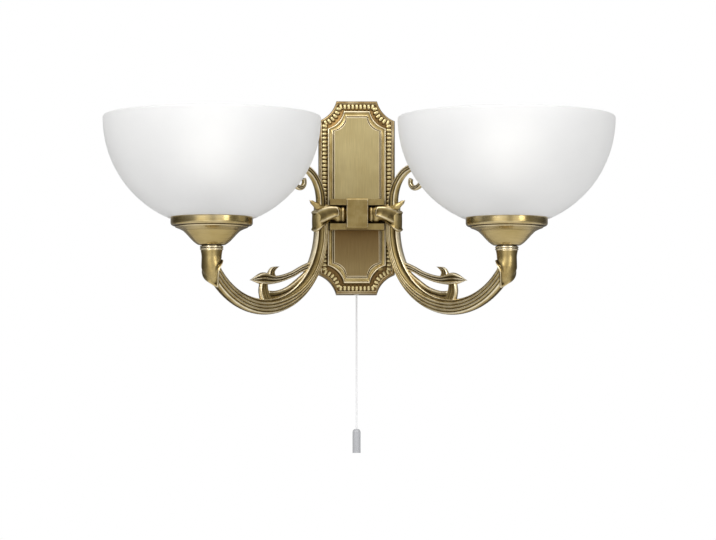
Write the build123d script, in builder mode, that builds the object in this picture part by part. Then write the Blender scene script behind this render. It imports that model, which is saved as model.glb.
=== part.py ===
"""Double arm wall sconce with opal bowls and a pull switch.

Millimetres. The wall is the plane y = 0 and the lamp stands out towards -Y. +X is right, seen
from the front, and +Z is up. The origin is the middle of the two wall screws, on the wall.
Each arm lies in an upright plane turned out from the plate: on it s runs outwards and z up.
"""

import math
import os

from build123d import *

# General fits and walls
FIT = 0.05  # radial clearance of a thread or spigot in its hole
SEAT = 0.2  # gap left where a curved face rests on another
WIRE_RADIUS = 1.3  # two-core lead

# Backplate: outline with four scooped corners
PLATE_HALF_WIDTH = 31.2
PLATE_HALF_HEIGHT = 79.0
PLATE_END_HALF_WIDTH = 16.6
PLATE_CORNER_HEIGHT = 62.7
SCOOP_DEPTH = 2.7
PLATE_WALL = 1.8
RIM_DEPTH = 18.0  # front of the flat outer rim
RIM_CHAMFER = 1.2
BORDER_INSET = 3.2  # rim's width, to the edge of the bar border
BORDER_RISE = 1.0
FRAME_HALF_WIDTH = 24.0
FRAME_HALF_HEIGHT = 70.5
FRAME_END_HALF_WIDTH = 10.6
FRAME_CORNER_HEIGHT = 56.0
FRAME_DEPTH = 24.0
FRAME_CHAMFER = 1.3
GROOVE_INSET = 4.6  # frame's width, to the groove round the panel
GROOVE_WIDTH = 1.0
GROOVE_DEPTH = 0.9
PANEL_WALL = 1.6

# Wall bracket
STRAP_HALF_WIDTH = 9.0
STRAP_THICKNESS = 1.5
STRAP_TOP = 60.0
STRAP_BOTTOM = -41.0
WALL_HOLE_SPACING = 60.0
WALL_HOLE_RADIUS = 2.25
CABLE_HOLE_RADIUS = 6.0
CROSSBAR_HEIGHT = 14.0
SIDE_SCREW_Z = 12.0
SIDE_SCREW_DEPTH = 9.0
SIDE_SCREW_RADIUS = 2.0
SIDE_SCREW_LENGTH = 7.0
SIDE_SCREW_HEAD_RADIUS = 3.2
SIDE_SCREW_HEAD_HEIGHT = 1.8
TAB_DEPTH = 14.0
TAB_GAP = 0.3
EARTH_SCREW_X = -19.0
EARTH_SCREW_RADIUS = 2.0
EARTH_SCREW_LENGTH = 6.0
EARTH_HEAD_RADIUS = 3.6
EARTH_HEAD_HEIGHT = 2.4

# Arm saddle and centre block
SADDLE_HALF_WIDTH = 21.9
SADDLE_TOP = -2.5
SADDLE_BOTTOM = -27.5
SADDLE_THICKNESS = 10.0  # stands on the frame's front
SADDLE_STRIP = 5.0  # height of the strips above and below the channel
BLOCK_HALF_WIDTH = 8.6
BLOCK_THICKNESS = 10.0  # stands on the saddle's front
BLOCK_BEVEL = 1.2
BLOCK_WALL = 1.6
BLOCK_MARGIN = 0.3  # block's top and bottom stand in from the saddle's
WIRE_HOLE_RADIUS = 4.0
BOLT_RADIUS = 1.5
BOLT_HEAD_RADIUS = 2.6
BOLT_HEAD_HEIGHT = 1.8
BOLT_GRIP = 6.0  # thread held in the block

# Arms, in their own plane
ROOT_INSET = 2.455  # root's axis, behind the saddle's front
ARM_YAW = 45.0
STEM_S = 41.5
ARM_ARC_Z = -26.0
ARM_ARC_RADIUS = 66.0
ARM_ARC_TURN = 40.268  # degrees below level at which the small arc takes over
ARM_END_RADIUS = 20.0
ARM_HEIGHT = 12.5  # section, in the arm's plane
ARM_THICKNESS = 7.4  # section's core, across the plane
REED_RADIUS = 1.5
REED_PITCH = 3.0
REED_COUNT = 4
REED_PROUD = 0.6
CHANNEL_RADIUS = 3.4  # channel along the arm's inner edge
CHANNEL_DEPTH = 1.0
STEM_TOP_Z = -5.0
BORE_RADIUS = 2.1
ROOT_Z = -15.0
ROOT_GAP = 0.3
ROOT_TURN_RADIUS = 5.0
ROOT_RADIUS = 4.8
SLEEVE_RADIUS = 8.6
SLEEVE_TOP_Z = -49.7
TENDRIL_RADIUS = 2.3
TENDRIL_RISE_RADIUS = 29.0
TENDRIL_RISE_ANGLE = 51.0
TENDRIL_TOP_RADIUS = 21.0
SCROLL_RADIUS = 8.5
SCROLL_END_RADIUS = 5.0
SCROLL_END_ANGLE = 120.0
LEAF_THICKNESS = 5.0
TIE_THICKNESS = 10.4
TIE_WALL = 0.7
HOOK_RADIUS = 6.2
HOOK_WIDTH = 3.0
HOOK_X = 14.0
SPUR_THICKNESS = 3.0

# Nipples that hold the arm roots and the cups
ROOT_NIPPLE_RADIUS = 3.0
ROOT_NIPPLE_BORE = 2.0
ROOT_NIPPLE_GRIP = 7.0
NUT_ACROSS_FLATS = 10.0
NUT_THICKNESS = 1.8
CUP_NIPPLE_RADIUS = 5.0
CUP_NIPPLE_BORE = 3.4
CUP_NIPPLE_GRIP = 8.0
CUP_NUT_ACROSS_FLATS = 14.0
CUP_NUT_THICKNESS = 2.6

# Collar and cup, turned
COLLAR_RADIUS = 9.2
COLLAR_HEIGHT = 3.3
CUP_NECK_RADIUS = 7.6
CUP_NECK_HEIGHT = 0.6
CUP_FOOT_RADIUS = 10.8
CUP_FOOT_Z = -45.6
CUP_BELL_RADIUS = 15.6
CUP_BELL_Z = -41.8
CUP_WAIST_RADIUS = 23.0
CUP_WAIST_Z = -34.2
CUP_RIM_RADIUS = 32.0
CUP_RIM_Z = -23.5
CUP_RIM_HEIGHT = 6.0
CUP_WALL = 1.5

# Shade: part of a hollow ball, cut off level at its middle
SHADE_RADIUS = 85.0
SHADE_BOTTOM_Z = -31.6  # where the whole ball would end
SHADE_WALL = 3.0
SHADE_HOLE_RADIUS = 15.2

# Lampholder (small screw cap), shade ring and bulb
HOLDER_RADIUS = 13.5
HOLDER_TOP_Z = -2.0
HOLDER_BASE_Z = -36.0
HOLDER_NECK_RADIUS = 7.5
SOCKET_DEPTH = 23.0
SHELL_RADIUS = 7.9
SHELL_WALL = 0.8
CONTACT_RADIUS = 2.5
CONTACT_HEIGHT = 1.5
RING_RADIUS = 20.0
RING_THICKNESS = 2.5
RING_SKIRT_RADIUS = 15.8
RING_SKIRT_HEIGHT = 7.0
BULB_RADIUS = 22.5
BULB_LENGTH = 77.5
BULB_GLASS_WALL = 0.8
BULB_NECK_RADIUS = 9.5
BULB_NECK_LENGTH = 9.0
CAP_CLEARANCE = 0.1
CAP_WALL = 1.0
CAP_TIP_RADIUS = 3.4
CAP_TIP_HEIGHT = 2.2

# Terminal block
TERMINAL_POLES = 4
TERMINAL_PITCH = 9.0
TERMINAL_DEPTH = 13.0
TERMINAL_HEIGHT = 16.0
TERMINAL_BOTTOM_Z = 40.0
INSERT_RADIUS = 2.4
INSERT_BORE = 1.7
TERMINAL_SCREW_RADIUS = 1.4
TERMINAL_SCREW_OFFSET = 4.5
TERMINAL_SCREW_RECESS = 1.5

# Pull switch
CORD_RADIUS = 0.7
CORD_DEPTH = 12.0  # from the wall
DRUM_CORD_RADIUS = 5.0  # radius at the cord's middle
DRUM_FLANGE_RADIUS = 6.5
DRUM_WIDTH = 5.0
DRUM_GROOVE_WIDTH = 1.9
DRUM_Z = -57.0
AXLE_RADIUS = 1.5
SWITCH_LEFT = -8.5
SWITCH_RIGHT = 15.5
SWITCH_TOP = -46.0
SWITCH_BOTTOM = -69.0
SWITCH_BACK = 5.5  # depth from the wall
SWITCH_FRONT = 16.0
SWITCH_WALL = 1.5
SWITCH_COVER = 1.2
EAR_REACH = 6.5
EAR_HALF_HEIGHT = 3.2
EAR_THICKNESS = 1.6
EAR_SCREW_RADIUS = 1.25
EAR_SCREW_LENGTH = 4.0
EAR_HEAD_RADIUS = 2.3
EAR_HEAD_HEIGHT = 1.4
POST_RADIUS = 2.8
SPRING_RADIUS = 3.6
SPRING_BORE = 2.2
SPRING_WIDTH = 1.0
STRIP_WIDTH = 3.0
STRIP_THICKNESS = 0.8
STRIP_GAP = 3.0

# Pull cord, bush and bell
BUSH_RADIUS = 2.3
BUSH_FLANGE_RADIUS = 3.6
BUSH_FLANGE_HEIGHT = 1.0
BUSH_PROUD = 0.6
CORD_FREE_LENGTH = 108.8
PIVOT_GAP = 0.1  # between the bush and the round end of the swinging cord
CORD_TAIL = 6.0  # cord inside the bell, down to its knot
BELL_RADIUS = 3.25
BELL_LENGTH = 19.4
BELL_DOME = 3.0
BELL_CAVITY_RADIUS = 2.3
KNOT_RADIUS = 1.6

# Values worked out from the driving dimensions
SADDLE_DEPTH = FRAME_DEPTH + SADDLE_THICKNESS
BLOCK_DEPTH = SADDLE_DEPTH + BLOCK_THICKNESS
YAW = math.radians(ARM_YAW)
STEM_X = STEM_S * math.cos(YAW)
STEM_Y = ROOT_INSET - SADDLE_DEPTH
ARM_PLANE_Y = STEM_Y + STEM_S * math.sin(YAW)  # where the arm's plane would meet x = 0
ARM_ARC_S = STEM_S + ARM_ARC_RADIUS
ARC_TURN = math.radians(ARM_ARC_TURN)
ARM_END_S = ARM_ARC_S + (ARM_ARC_RADIUS - ARM_END_RADIUS) * math.cos(ARC_TURN)
ARM_END_Z = ARM_ARC_Z - (ARM_ARC_RADIUS - ARM_END_RADIUS) * math.sin(ARC_TURN)
CUP_AXIS_S = ARM_END_S + ARM_END_RADIUS
CUP_X = CUP_AXIS_S * math.cos(YAW)
CUP_Y = ARM_PLANE_Y - CUP_AXIS_S * math.sin(YAW)
SADDLE_MID_Z = (SADDLE_TOP + SADDLE_BOTTOM) / 2
CHANNEL_HALF = (SADDLE_TOP - SADDLE_BOTTOM) / 2 - SADDLE_STRIP
ROOT_END_X = BLOCK_HALF_WIDTH + ROOT_GAP
POCKET_HALF_WIDTH = BLOCK_HALF_WIDTH - BLOCK_WALL
POCKET_FLOOR = FRAME_DEPTH + BLOCK_WALL
PLATE_INNER_X = PLATE_HALF_WIDTH - PLATE_WALL
PANEL_BACK = FRAME_DEPTH - PANEL_WALL
NIPPLE_IN_X = POCKET_HALF_WIDTH - NUT_THICKNESS - SEAT
LEAD_X = NIPPLE_IN_X - WIRE_RADIUS - SEAT * 10
SHADE_CENTRE_Z = SHADE_BOTTOM_Z + SHADE_RADIUS
SOCKET_FLOOR_Z = HOLDER_TOP_Z - SOCKET_DEPTH
CAP_RADIUS = SHELL_RADIUS - SHELL_WALL - CAP_CLEARANCE
BULB_TIP_Z = SOCKET_FLOOR_Z + CONTACT_HEIGHT + CAP_CLEARANCE
CAP_BOTTOM_Z = BULB_TIP_Z + CAP_TIP_HEIGHT
BULB_CENTRE_Z = BULB_TIP_Z + BULB_LENGTH - BULB_RADIUS
FLANGE_UNDERSIDE_Z = -PLATE_HALF_HEIGHT
BUSH_END_Z = FLANGE_UNDERSIDE_Z - BUSH_PROUD
BELL_TOP_Z = BUSH_END_Z - CORD_FREE_LENGTH
PIVOT_Z = BUSH_END_Z - CORD_RADIUS - PIVOT_GAP
DRUM_X = DRUM_CORD_RADIUS
HOLDER_NECK_Z = SLEEVE_TOP_Z + COLLAR_HEIGHT + CUP_NECK_HEIGHT + CUP_WALL + CUP_NUT_THICKNESS + SEAT

os.makedirs("parts", exist_ok=True)


def save(piece: BuildPart, label: str) -> None:
    """Label a finished piece and write it to its own file."""
    piece.part.label = label
    export_step(piece.part, f"parts/{label}.step")


def arm_point(s: float, z: float) -> Vector:
    """A point of the right arm's plane, s out along the arm and z up."""
    return Vector(s * math.cos(YAW), ARM_PLANE_Y - s * math.sin(YAW), z)


def cartouche(
    half_width: float, half_height: float, end_half_width: float, corner_height: float
) -> Sketch:
    """The plate's outline: a tall rectangle whose corners are scooped out by arcs."""
    with BuildSketch() as outline:
        with BuildLine():
            end = Line((-end_half_width, half_height), (end_half_width, half_height))
            scoop = SagittaArc(end @ 1, (half_width, corner_height), -SCOOP_DEPTH)
            side = Line(scoop @ 1, (half_width, -corner_height))
            low_scoop = SagittaArc(side @ 1, (end_half_width, -half_height), -SCOOP_DEPTH)
            foot = Line(low_scoop @ 1, (-end_half_width, -half_height))
            far_low_scoop = SagittaArc(foot @ 1, (-half_width, -corner_height), -SCOOP_DEPTH)
            far_side = Line(far_low_scoop @ 1, (-half_width, corner_height))
            SagittaArc(far_side @ 1, end @ 0, -SCOOP_DEPTH)
        make_face()
    return outline.sketch


def plate_outline(inset: float) -> Sketch:
    """The backplate's outline, drawn in by an inset."""
    return cartouche(
        PLATE_HALF_WIDTH - inset,
        PLATE_HALF_HEIGHT - inset,
        PLATE_END_HALF_WIDTH - inset * 0.4,
        PLATE_CORNER_HEIGHT - inset * 0.4,
    )


def frame_outline(inset: float) -> Sketch:
    """The raised frame's outline, drawn in by an inset."""
    return cartouche(
        FRAME_HALF_WIDTH - inset,
        FRAME_HALF_HEIGHT - inset,
        FRAME_END_HALF_WIDTH - inset * 0.4,
        FRAME_CORNER_HEIGHT - inset * 0.4,
    )


def arm_route() -> list[Edge]:
    """The right arm's middle line, from the top of its stem to the top of its sleeve."""
    meet = arm_point(
        ARM_ARC_S + ARM_ARC_RADIUS * math.cos(ARC_TURN),
        ARM_ARC_Z - ARM_ARC_RADIUS * math.sin(ARC_TURN),
    )
    half = ARC_TURN / 2
    bend = arm_point(
        ARM_END_S + ARM_END_RADIUS * math.cos(half), ARM_END_Z - ARM_END_RADIUS * math.sin(half)
    )
    lowest = arm_point(ARM_ARC_S, ARM_ARC_Z - ARM_ARC_RADIUS)
    spring = arm_point(STEM_S, ARM_ARC_Z)
    stem = Edge.make_line(arm_point(STEM_S, STEM_TOP_Z), spring)
    sweep_down = Edge.make_three_point_arc(spring, lowest, meet)
    sweep_up = Edge.make_three_point_arc(meet, bend, arm_point(CUP_AXIS_S, ARM_END_Z))
    rise = Edge.make_line(arm_point(CUP_AXIS_S, ARM_END_Z), arm_point(CUP_AXIS_S, SLEEVE_TOP_Z))
    return [stem, sweep_down, sweep_up, rise]


ARM_PLANE = Plane(
    origin=(0, ARM_PLANE_Y, 0),
    x_dir=(math.cos(YAW), -math.sin(YAW), 0),
    z_dir=(-math.sin(YAW), -math.cos(YAW), 0),
)
STEM_PLANE = Plane(origin=arm_point(STEM_S, STEM_TOP_Z), x_dir=ARM_PLANE.x_dir, z_dir=(0, 0, -1))
ROUTE = arm_route()
LEAD_TOP_STRETCH = [
    Edge.make_line((ROOT_END_X, STEM_Y, ROOT_Z), (STEM_X - ROOT_TURN_RADIUS, STEM_Y, ROOT_Z)),
    Edge.make_three_point_arc(
        (STEM_X - ROOT_TURN_RADIUS, STEM_Y, ROOT_Z),
        (
            STEM_X - ROOT_TURN_RADIUS * (1 - math.sqrt(0.5)),
            STEM_Y,
            ROOT_Z - ROOT_TURN_RADIUS * (1 - math.sqrt(0.5)),
        ),
        (STEM_X, STEM_Y, ROOT_Z - ROOT_TURN_RADIUS),
    ),
    Edge.make_line((STEM_X, STEM_Y, ROOT_Z - ROOT_TURN_RADIUS), ROUTE[1] @ 0),
]
LEAD_IN_ARM = LEAD_TOP_STRETCH + ROUTE[1:]
LEAD_END = Edge.make_line(ROUTE[3] @ 0, arm_point(CUP_AXIS_S, HOLDER_NECK_Z))


# ---------------------------------------------------------------- backplate
with BuildPart() as backplate:
    with BuildSketch(Plane.XZ):
        add(plate_outline(0))
    extrude(amount=RIM_DEPTH)
    chamfer(backplate.faces().sort_by(Axis.Y)[0].edges(), RIM_CHAMFER)
    with BuildSketch(Plane.XZ.offset(RIM_DEPTH)):
        add(plate_outline(BORDER_INSET))
    extrude(amount=BORDER_RISE)
    with BuildSketch(Plane.XZ.offset(RIM_DEPTH)):
        add(frame_outline(0))
    extrude(amount=FRAME_DEPTH - RIM_DEPTH)
    chamfer(backplate.faces().sort_by(Axis.Y)[0].edges(), FRAME_CHAMFER)
    with BuildSketch(Plane.XZ.offset(FRAME_DEPTH)):
        add(frame_outline(GROOVE_INSET))
        add(frame_outline(GROOVE_INSET + GROOVE_WIDTH), mode=Mode.SUBTRACT)
    extrude(amount=-GROOVE_DEPTH, mode=Mode.SUBTRACT)
    # the hollow back
    with BuildSketch(Plane.XZ):
        add(plate_outline(PLATE_WALL))
    extrude(amount=RIM_DEPTH - PLATE_WALL, mode=Mode.SUBTRACT)
    with BuildSketch(Plane.XZ):
        add(frame_outline(PLATE_WALL))
    extrude(amount=PANEL_BACK, mode=Mode.SUBTRACT)
    # posts that carry the switch
    with BuildSketch(Plane.XZ.offset(SWITCH_FRONT)):
        with Locations(
            (SWITCH_LEFT - EAR_REACH / 2, DRUM_Z), (SWITCH_RIGHT + EAR_REACH / 2, DRUM_Z)
        ):
            Circle(POST_RADIUS)
    extrude(amount=PANEL_BACK - SWITCH_FRONT)
    with BuildSketch(Plane.XZ.offset(SWITCH_FRONT)):
        with Locations(
            (SWITCH_LEFT - EAR_REACH / 2, DRUM_Z), (SWITCH_RIGHT + EAR_REACH / 2, DRUM_Z)
        ):
            Circle(EAR_SCREW_RADIUS + FIT)
    extrude(amount=EAR_SCREW_LENGTH - EAR_THICKNESS, mode=Mode.SUBTRACT)
    # way through for the leads, bolts, side screws and cord
    with BuildSketch(Plane.XZ):
        with Locations((0, ROOT_Z)):
            Circle(WIRE_HOLE_RADIUS)
        with Locations(
            (0, SADDLE_TOP - SADDLE_STRIP / 2), (0, SADDLE_BOTTOM + SADDLE_STRIP / 2)
        ):
            Circle(BOLT_RADIUS + FIT)
    extrude(amount=FRAME_DEPTH, mode=Mode.SUBTRACT)
    with BuildSketch(Plane.YZ.offset(-PLATE_HALF_WIDTH)):
        with Locations((-SIDE_SCREW_DEPTH, SIDE_SCREW_Z)):
            Circle(SIDE_SCREW_RADIUS + FIT)
    extrude(amount=2 * PLATE_HALF_WIDTH, mode=Mode.SUBTRACT)
    with BuildSketch(Plane.XY.offset(FLANGE_UNDERSIDE_Z)):
        with Locations((0, -CORD_DEPTH)):
            Circle(BUSH_RADIUS + FIT)
    extrude(amount=PLATE_WALL * 1.5, mode=Mode.SUBTRACT)
save(backplate, "backplate")

# ---------------------------------------------------------------- wall bracket
TAB_X = PLATE_INNER_X - TAB_GAP
with BuildPart() as wall_bracket:
    with BuildSketch(Plane.XZ):
        with Locations((0, (STRAP_TOP + STRAP_BOTTOM) / 2)):
            Rectangle(2 * STRAP_HALF_WIDTH, STRAP_TOP - STRAP_BOTTOM)
        with Locations((0, SIDE_SCREW_Z)):
            Rectangle(2 * TAB_X, CROSSBAR_HEIGHT)
        with Locations((0, WALL_HOLE_SPACING / 2), (0, -WALL_HOLE_SPACING / 2)):
            Circle(WALL_HOLE_RADIUS, mode=Mode.SUBTRACT)
        Circle(CABLE_HOLE_RADIUS, mode=Mode.SUBTRACT)
        with Locations((EARTH_SCREW_X, SIDE_SCREW_Z)):
            Circle(EARTH_SCREW_RADIUS + FIT, mode=Mode.SUBTRACT)
    extrude(amount=STRAP_THICKNESS)
    with BuildSketch(Plane.XZ):
        with Locations(
            (TAB_X - STRAP_THICKNESS / 2, SIDE_SCREW_Z), (STRAP_THICKNESS / 2 - TAB_X, SIDE_SCREW_Z)
        ):
            Rectangle(STRAP_THICKNESS, CROSSBAR_HEIGHT)
    extrude(amount=TAB_DEPTH)
    with BuildSketch(Plane.YZ.offset(-TAB_X)):
        with Locations((-SIDE_SCREW_DEPTH, SIDE_SCREW_Z)):
            Circle(SIDE_SCREW_RADIUS + FIT)
    extrude(amount=2 * TAB_X, mode=Mode.SUBTRACT)
save(wall_bracket, "wall_bracket")

with BuildPart() as side_screws:
    with BuildSketch(Plane.YZ.offset(PLATE_HALF_WIDTH)):
        with Locations((-SIDE_SCREW_DEPTH, SIDE_SCREW_Z)):
            Circle(SIDE_SCREW_HEAD_RADIUS)
    extrude(amount=SIDE_SCREW_HEAD_HEIGHT)
    fillet(side_screws.faces().sort_by(Axis.X)[-1].edges(), SIDE_SCREW_HEAD_HEIGHT * 0.4)
    with BuildSketch(Plane.YZ.offset(PLATE_HALF_WIDTH)):
        with Locations((-SIDE_SCREW_DEPTH, SIDE_SCREW_Z)):
            Circle(SIDE_SCREW_RADIUS)
    extrude(amount=-SIDE_SCREW_LENGTH)
    mirror(about=Plane.YZ)
save(side_screws, "side_screws")

with BuildPart() as earth_screw:
    with BuildSketch(Plane.XZ.offset(STRAP_THICKNESS)):
        with Locations((EARTH_SCREW_X, SIDE_SCREW_Z)):
            Circle(EARTH_HEAD_RADIUS)
    extrude(amount=EARTH_HEAD_HEIGHT)
    fillet(earth_screw.faces().sort_by(Axis.Y)[0].edges(), EARTH_HEAD_HEIGHT * 0.3)
    with BuildSketch(Plane.XZ):
        with Locations((EARTH_SCREW_X, SIDE_SCREW_Z)):
            Circle(EARTH_SCREW_RADIUS)
    extrude(amount=EARTH_SCREW_LENGTH - EARTH_HEAD_HEIGHT)
save(earth_screw, "earth_screw")

# ---------------------------------------------------------------- arm saddle, block and bolts
BOLT_ZS = (SADDLE_TOP - SADDLE_STRIP / 2, SADDLE_BOTTOM + SADDLE_STRIP / 2)
SADDLE_HEIGHT = SADDLE_TOP - SADDLE_BOTTOM
CHANNEL_LENGTH = SADDLE_HALF_WIDTH - BLOCK_HALF_WIDTH
with BuildPart() as arm_saddle:
    with BuildSketch(Plane.XZ.offset(FRAME_DEPTH)):
        with Locations((0, SADDLE_MID_Z)):
            Rectangle(2 * SADDLE_HALF_WIDTH, SADDLE_HEIGHT)
    extrude(amount=SADDLE_DEPTH - FRAME_DEPTH)
    with BuildSketch(Plane.YZ.offset(BLOCK_HALF_WIDTH)):
        with Locations((-SADDLE_DEPTH, SADDLE_MID_Z)):
            Circle(CHANNEL_HALF)
    extrude(amount=CHANNEL_LENGTH, mode=Mode.SUBTRACT)
    with BuildSketch(Plane.YZ.offset(-BLOCK_HALF_WIDTH)):
        with Locations((-SADDLE_DEPTH, SADDLE_MID_Z)):
            Circle(CHANNEL_HALF)
    extrude(amount=-CHANNEL_LENGTH, mode=Mode.SUBTRACT)
    with BuildSketch(Plane.XZ.offset(POCKET_FLOOR)):
        with Locations((0, SADDLE_MID_Z)):
            Rectangle(2 * POCKET_HALF_WIDTH, 2 * CHANNEL_HALF)
    extrude(amount=SADDLE_DEPTH - POCKET_FLOOR, mode=Mode.SUBTRACT)
    with BuildSketch(Plane.XZ.offset(FRAME_DEPTH)):
        with Locations((0, ROOT_Z)):
            Circle(WIRE_HOLE_RADIUS)
        with Locations((0, BOLT_ZS[0]), (0, BOLT_ZS[1])):
            Circle(BOLT_RADIUS + FIT)
    extrude(amount=SADDLE_DEPTH - FRAME_DEPTH, mode=Mode.SUBTRACT)
    with BuildSketch(Plane.YZ.offset(-BLOCK_HALF_WIDTH)):
        with Locations((STEM_Y, ROOT_Z)):
            Circle(ROOT_NIPPLE_RADIUS + FIT)
    extrude(amount=2 * BLOCK_HALF_WIDTH, mode=Mode.SUBTRACT)
save(arm_saddle, "arm_saddle")

BLOCK_HEIGHT = SADDLE_HEIGHT - 2 * BLOCK_MARGIN
with BuildPart() as centre_block:
    with BuildSketch(Plane.XZ.offset(SADDLE_DEPTH)):
        with Locations((0, SADDLE_MID_Z)):
            Rectangle(2 * BLOCK_HALF_WIDTH, BLOCK_HEIGHT)
    extrude(amount=BLOCK_DEPTH - SADDLE_DEPTH)
    chamfer(centre_block.faces().sort_by(Axis.Y)[0].edges().filter_by(Axis.X), BLOCK_BEVEL)
    fillet(centre_block.faces().sort_by(Axis.Y)[0].edges().filter_by(Axis.Z), BLOCK_BEVEL / 2)
    with BuildSketch(Plane.XZ.offset(SADDLE_DEPTH)):
        with Locations((0, SADDLE_MID_Z)):
            Rectangle(2 * POCKET_HALF_WIDTH, 2 * CHANNEL_HALF)
    extrude(amount=BLOCK_DEPTH - SADDLE_DEPTH - BLOCK_WALL, mode=Mode.SUBTRACT)
    with BuildSketch(Plane.XZ.offset(SADDLE_DEPTH)):
        with Locations((0, BOLT_ZS[0]), (0, BOLT_ZS[1])):
            Circle(BOLT_RADIUS + FIT)
    extrude(amount=BOLT_GRIP, mode=Mode.SUBTRACT)
    with BuildSketch(Plane.YZ.offset(-BLOCK_HALF_WIDTH)):
        with Locations((STEM_Y, ROOT_Z)):
            Circle(ROOT_NIPPLE_RADIUS + FIT)
    extrude(amount=2 * BLOCK_HALF_WIDTH, mode=Mode.SUBTRACT)
save(centre_block, "centre_block")

with BuildPart() as saddle_bolts:
    with BuildSketch(Plane.XZ.offset(PANEL_BACK - BOLT_HEAD_HEIGHT)):
        with Locations((0, BOLT_ZS[0]), (0, BOLT_ZS[1])):
            Circle(BOLT_HEAD_RADIUS)
    extrude(amount=BOLT_HEAD_HEIGHT)
    with BuildSketch(Plane.XZ.offset(PANEL_BACK)):
        with Locations((0, BOLT_ZS[0]), (0, BOLT_ZS[1])):
            Circle(BOLT_RADIUS)
    extrude(amount=SADDLE_DEPTH - PANEL_BACK + BOLT_GRIP - SEAT)
save(saddle_bolts, "saddle_bolts")


# ---------------------------------------------------------------- arms
def saddle_room(side_x: float) -> Part:
    """The space that an arm leaves free for one half of the saddle."""
    with BuildPart() as room:
        with BuildSketch(Plane.XZ.offset(FRAME_DEPTH)):
            with Locations((side_x, SADDLE_MID_Z)):
                Rectangle(2 * (SADDLE_HALF_WIDTH + SEAT - side_x), SADDLE_HEIGHT + 2 * SEAT)
        extrude(amount=SADDLE_DEPTH + SEAT - FRAME_DEPTH)
        with BuildSketch(Plane.YZ.offset(side_x)):
            with Locations((-SADDLE_DEPTH, SADDLE_MID_Z)):
                Circle(CHANNEL_HALF - SEAT)
        extrude(amount=SADDLE_HALF_WIDTH + SEAT - side_x, mode=Mode.SUBTRACT)
    return room.part


# Leaf spray beside the arm, as (s from the stem, z from the arc's middle), drawn for an arc of
# SPRAY_ARC: upper edge from the arm to the leaf's tip, and back below.
SPRAY_ARC = 66.0
SPRAY_TOP = [(10.5, -28.6), (21.5, -31.2), (35.5, -37.3), (51.5, -40.8), (66.0, -38.8)]
LEAF_TIP = [(79.5, -45.4)]
SPRAY_LOW = [(66.5, -48.2), (48.5, -46.4), (30.5, -40.8), (13.5, -34.0)]
CURL = [(50.5, -41.5), (53.5, -36.0), (47.5, -33.5), (56.5, -34.2), (60.5, -41.5)]
# Hook between the arm's inner edge and the leaf's underside
HOOK_TOP = [(12.5, -32.6), (26.5, -41.6), (38.5, -48.8), (50.5, -52.6), (57.5, -52.6)]
HOOK_INNER = [(60.5, -50.8), (60.5, -46.0)]
HOOK_OUTER = [(68.5, -46.0), (69.2, -53.0), (66.0, -63.5)]
HOOK_BASE = [(45.8, -62.3), (27.5, -53.0), (13.4, -38.2)]
SPUR_REACH = 12.1
SPUR_TIP_Z = -3.6
SPUR_BASE_Z = (-8.0, -15.0)
TIE_IN_S = STEM_S - ARM_HEIGHT / 2 - TIE_WALL
TIE_OUT_S = STEM_S + ARM_HEIGHT / 2 + TIE_WALL
TIE_OUT_TOP_Z = -12.5
TIE_OUT_LOW_Z = -29.5
TIE_IN_TOP_Z = -7.2
TIE_IN_LOW_Z = -20.5


def on_arc(points: list[tuple[float, float]]) -> list[tuple[float, float]]:
    """Points of the leaf spray, set in the arm's own arc as (s, z)."""
    share = ARM_ARC_RADIUS / SPRAY_ARC
    return [(STEM_S + s * share, ARM_ARC_Z + z * share) for s, z in points]


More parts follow.
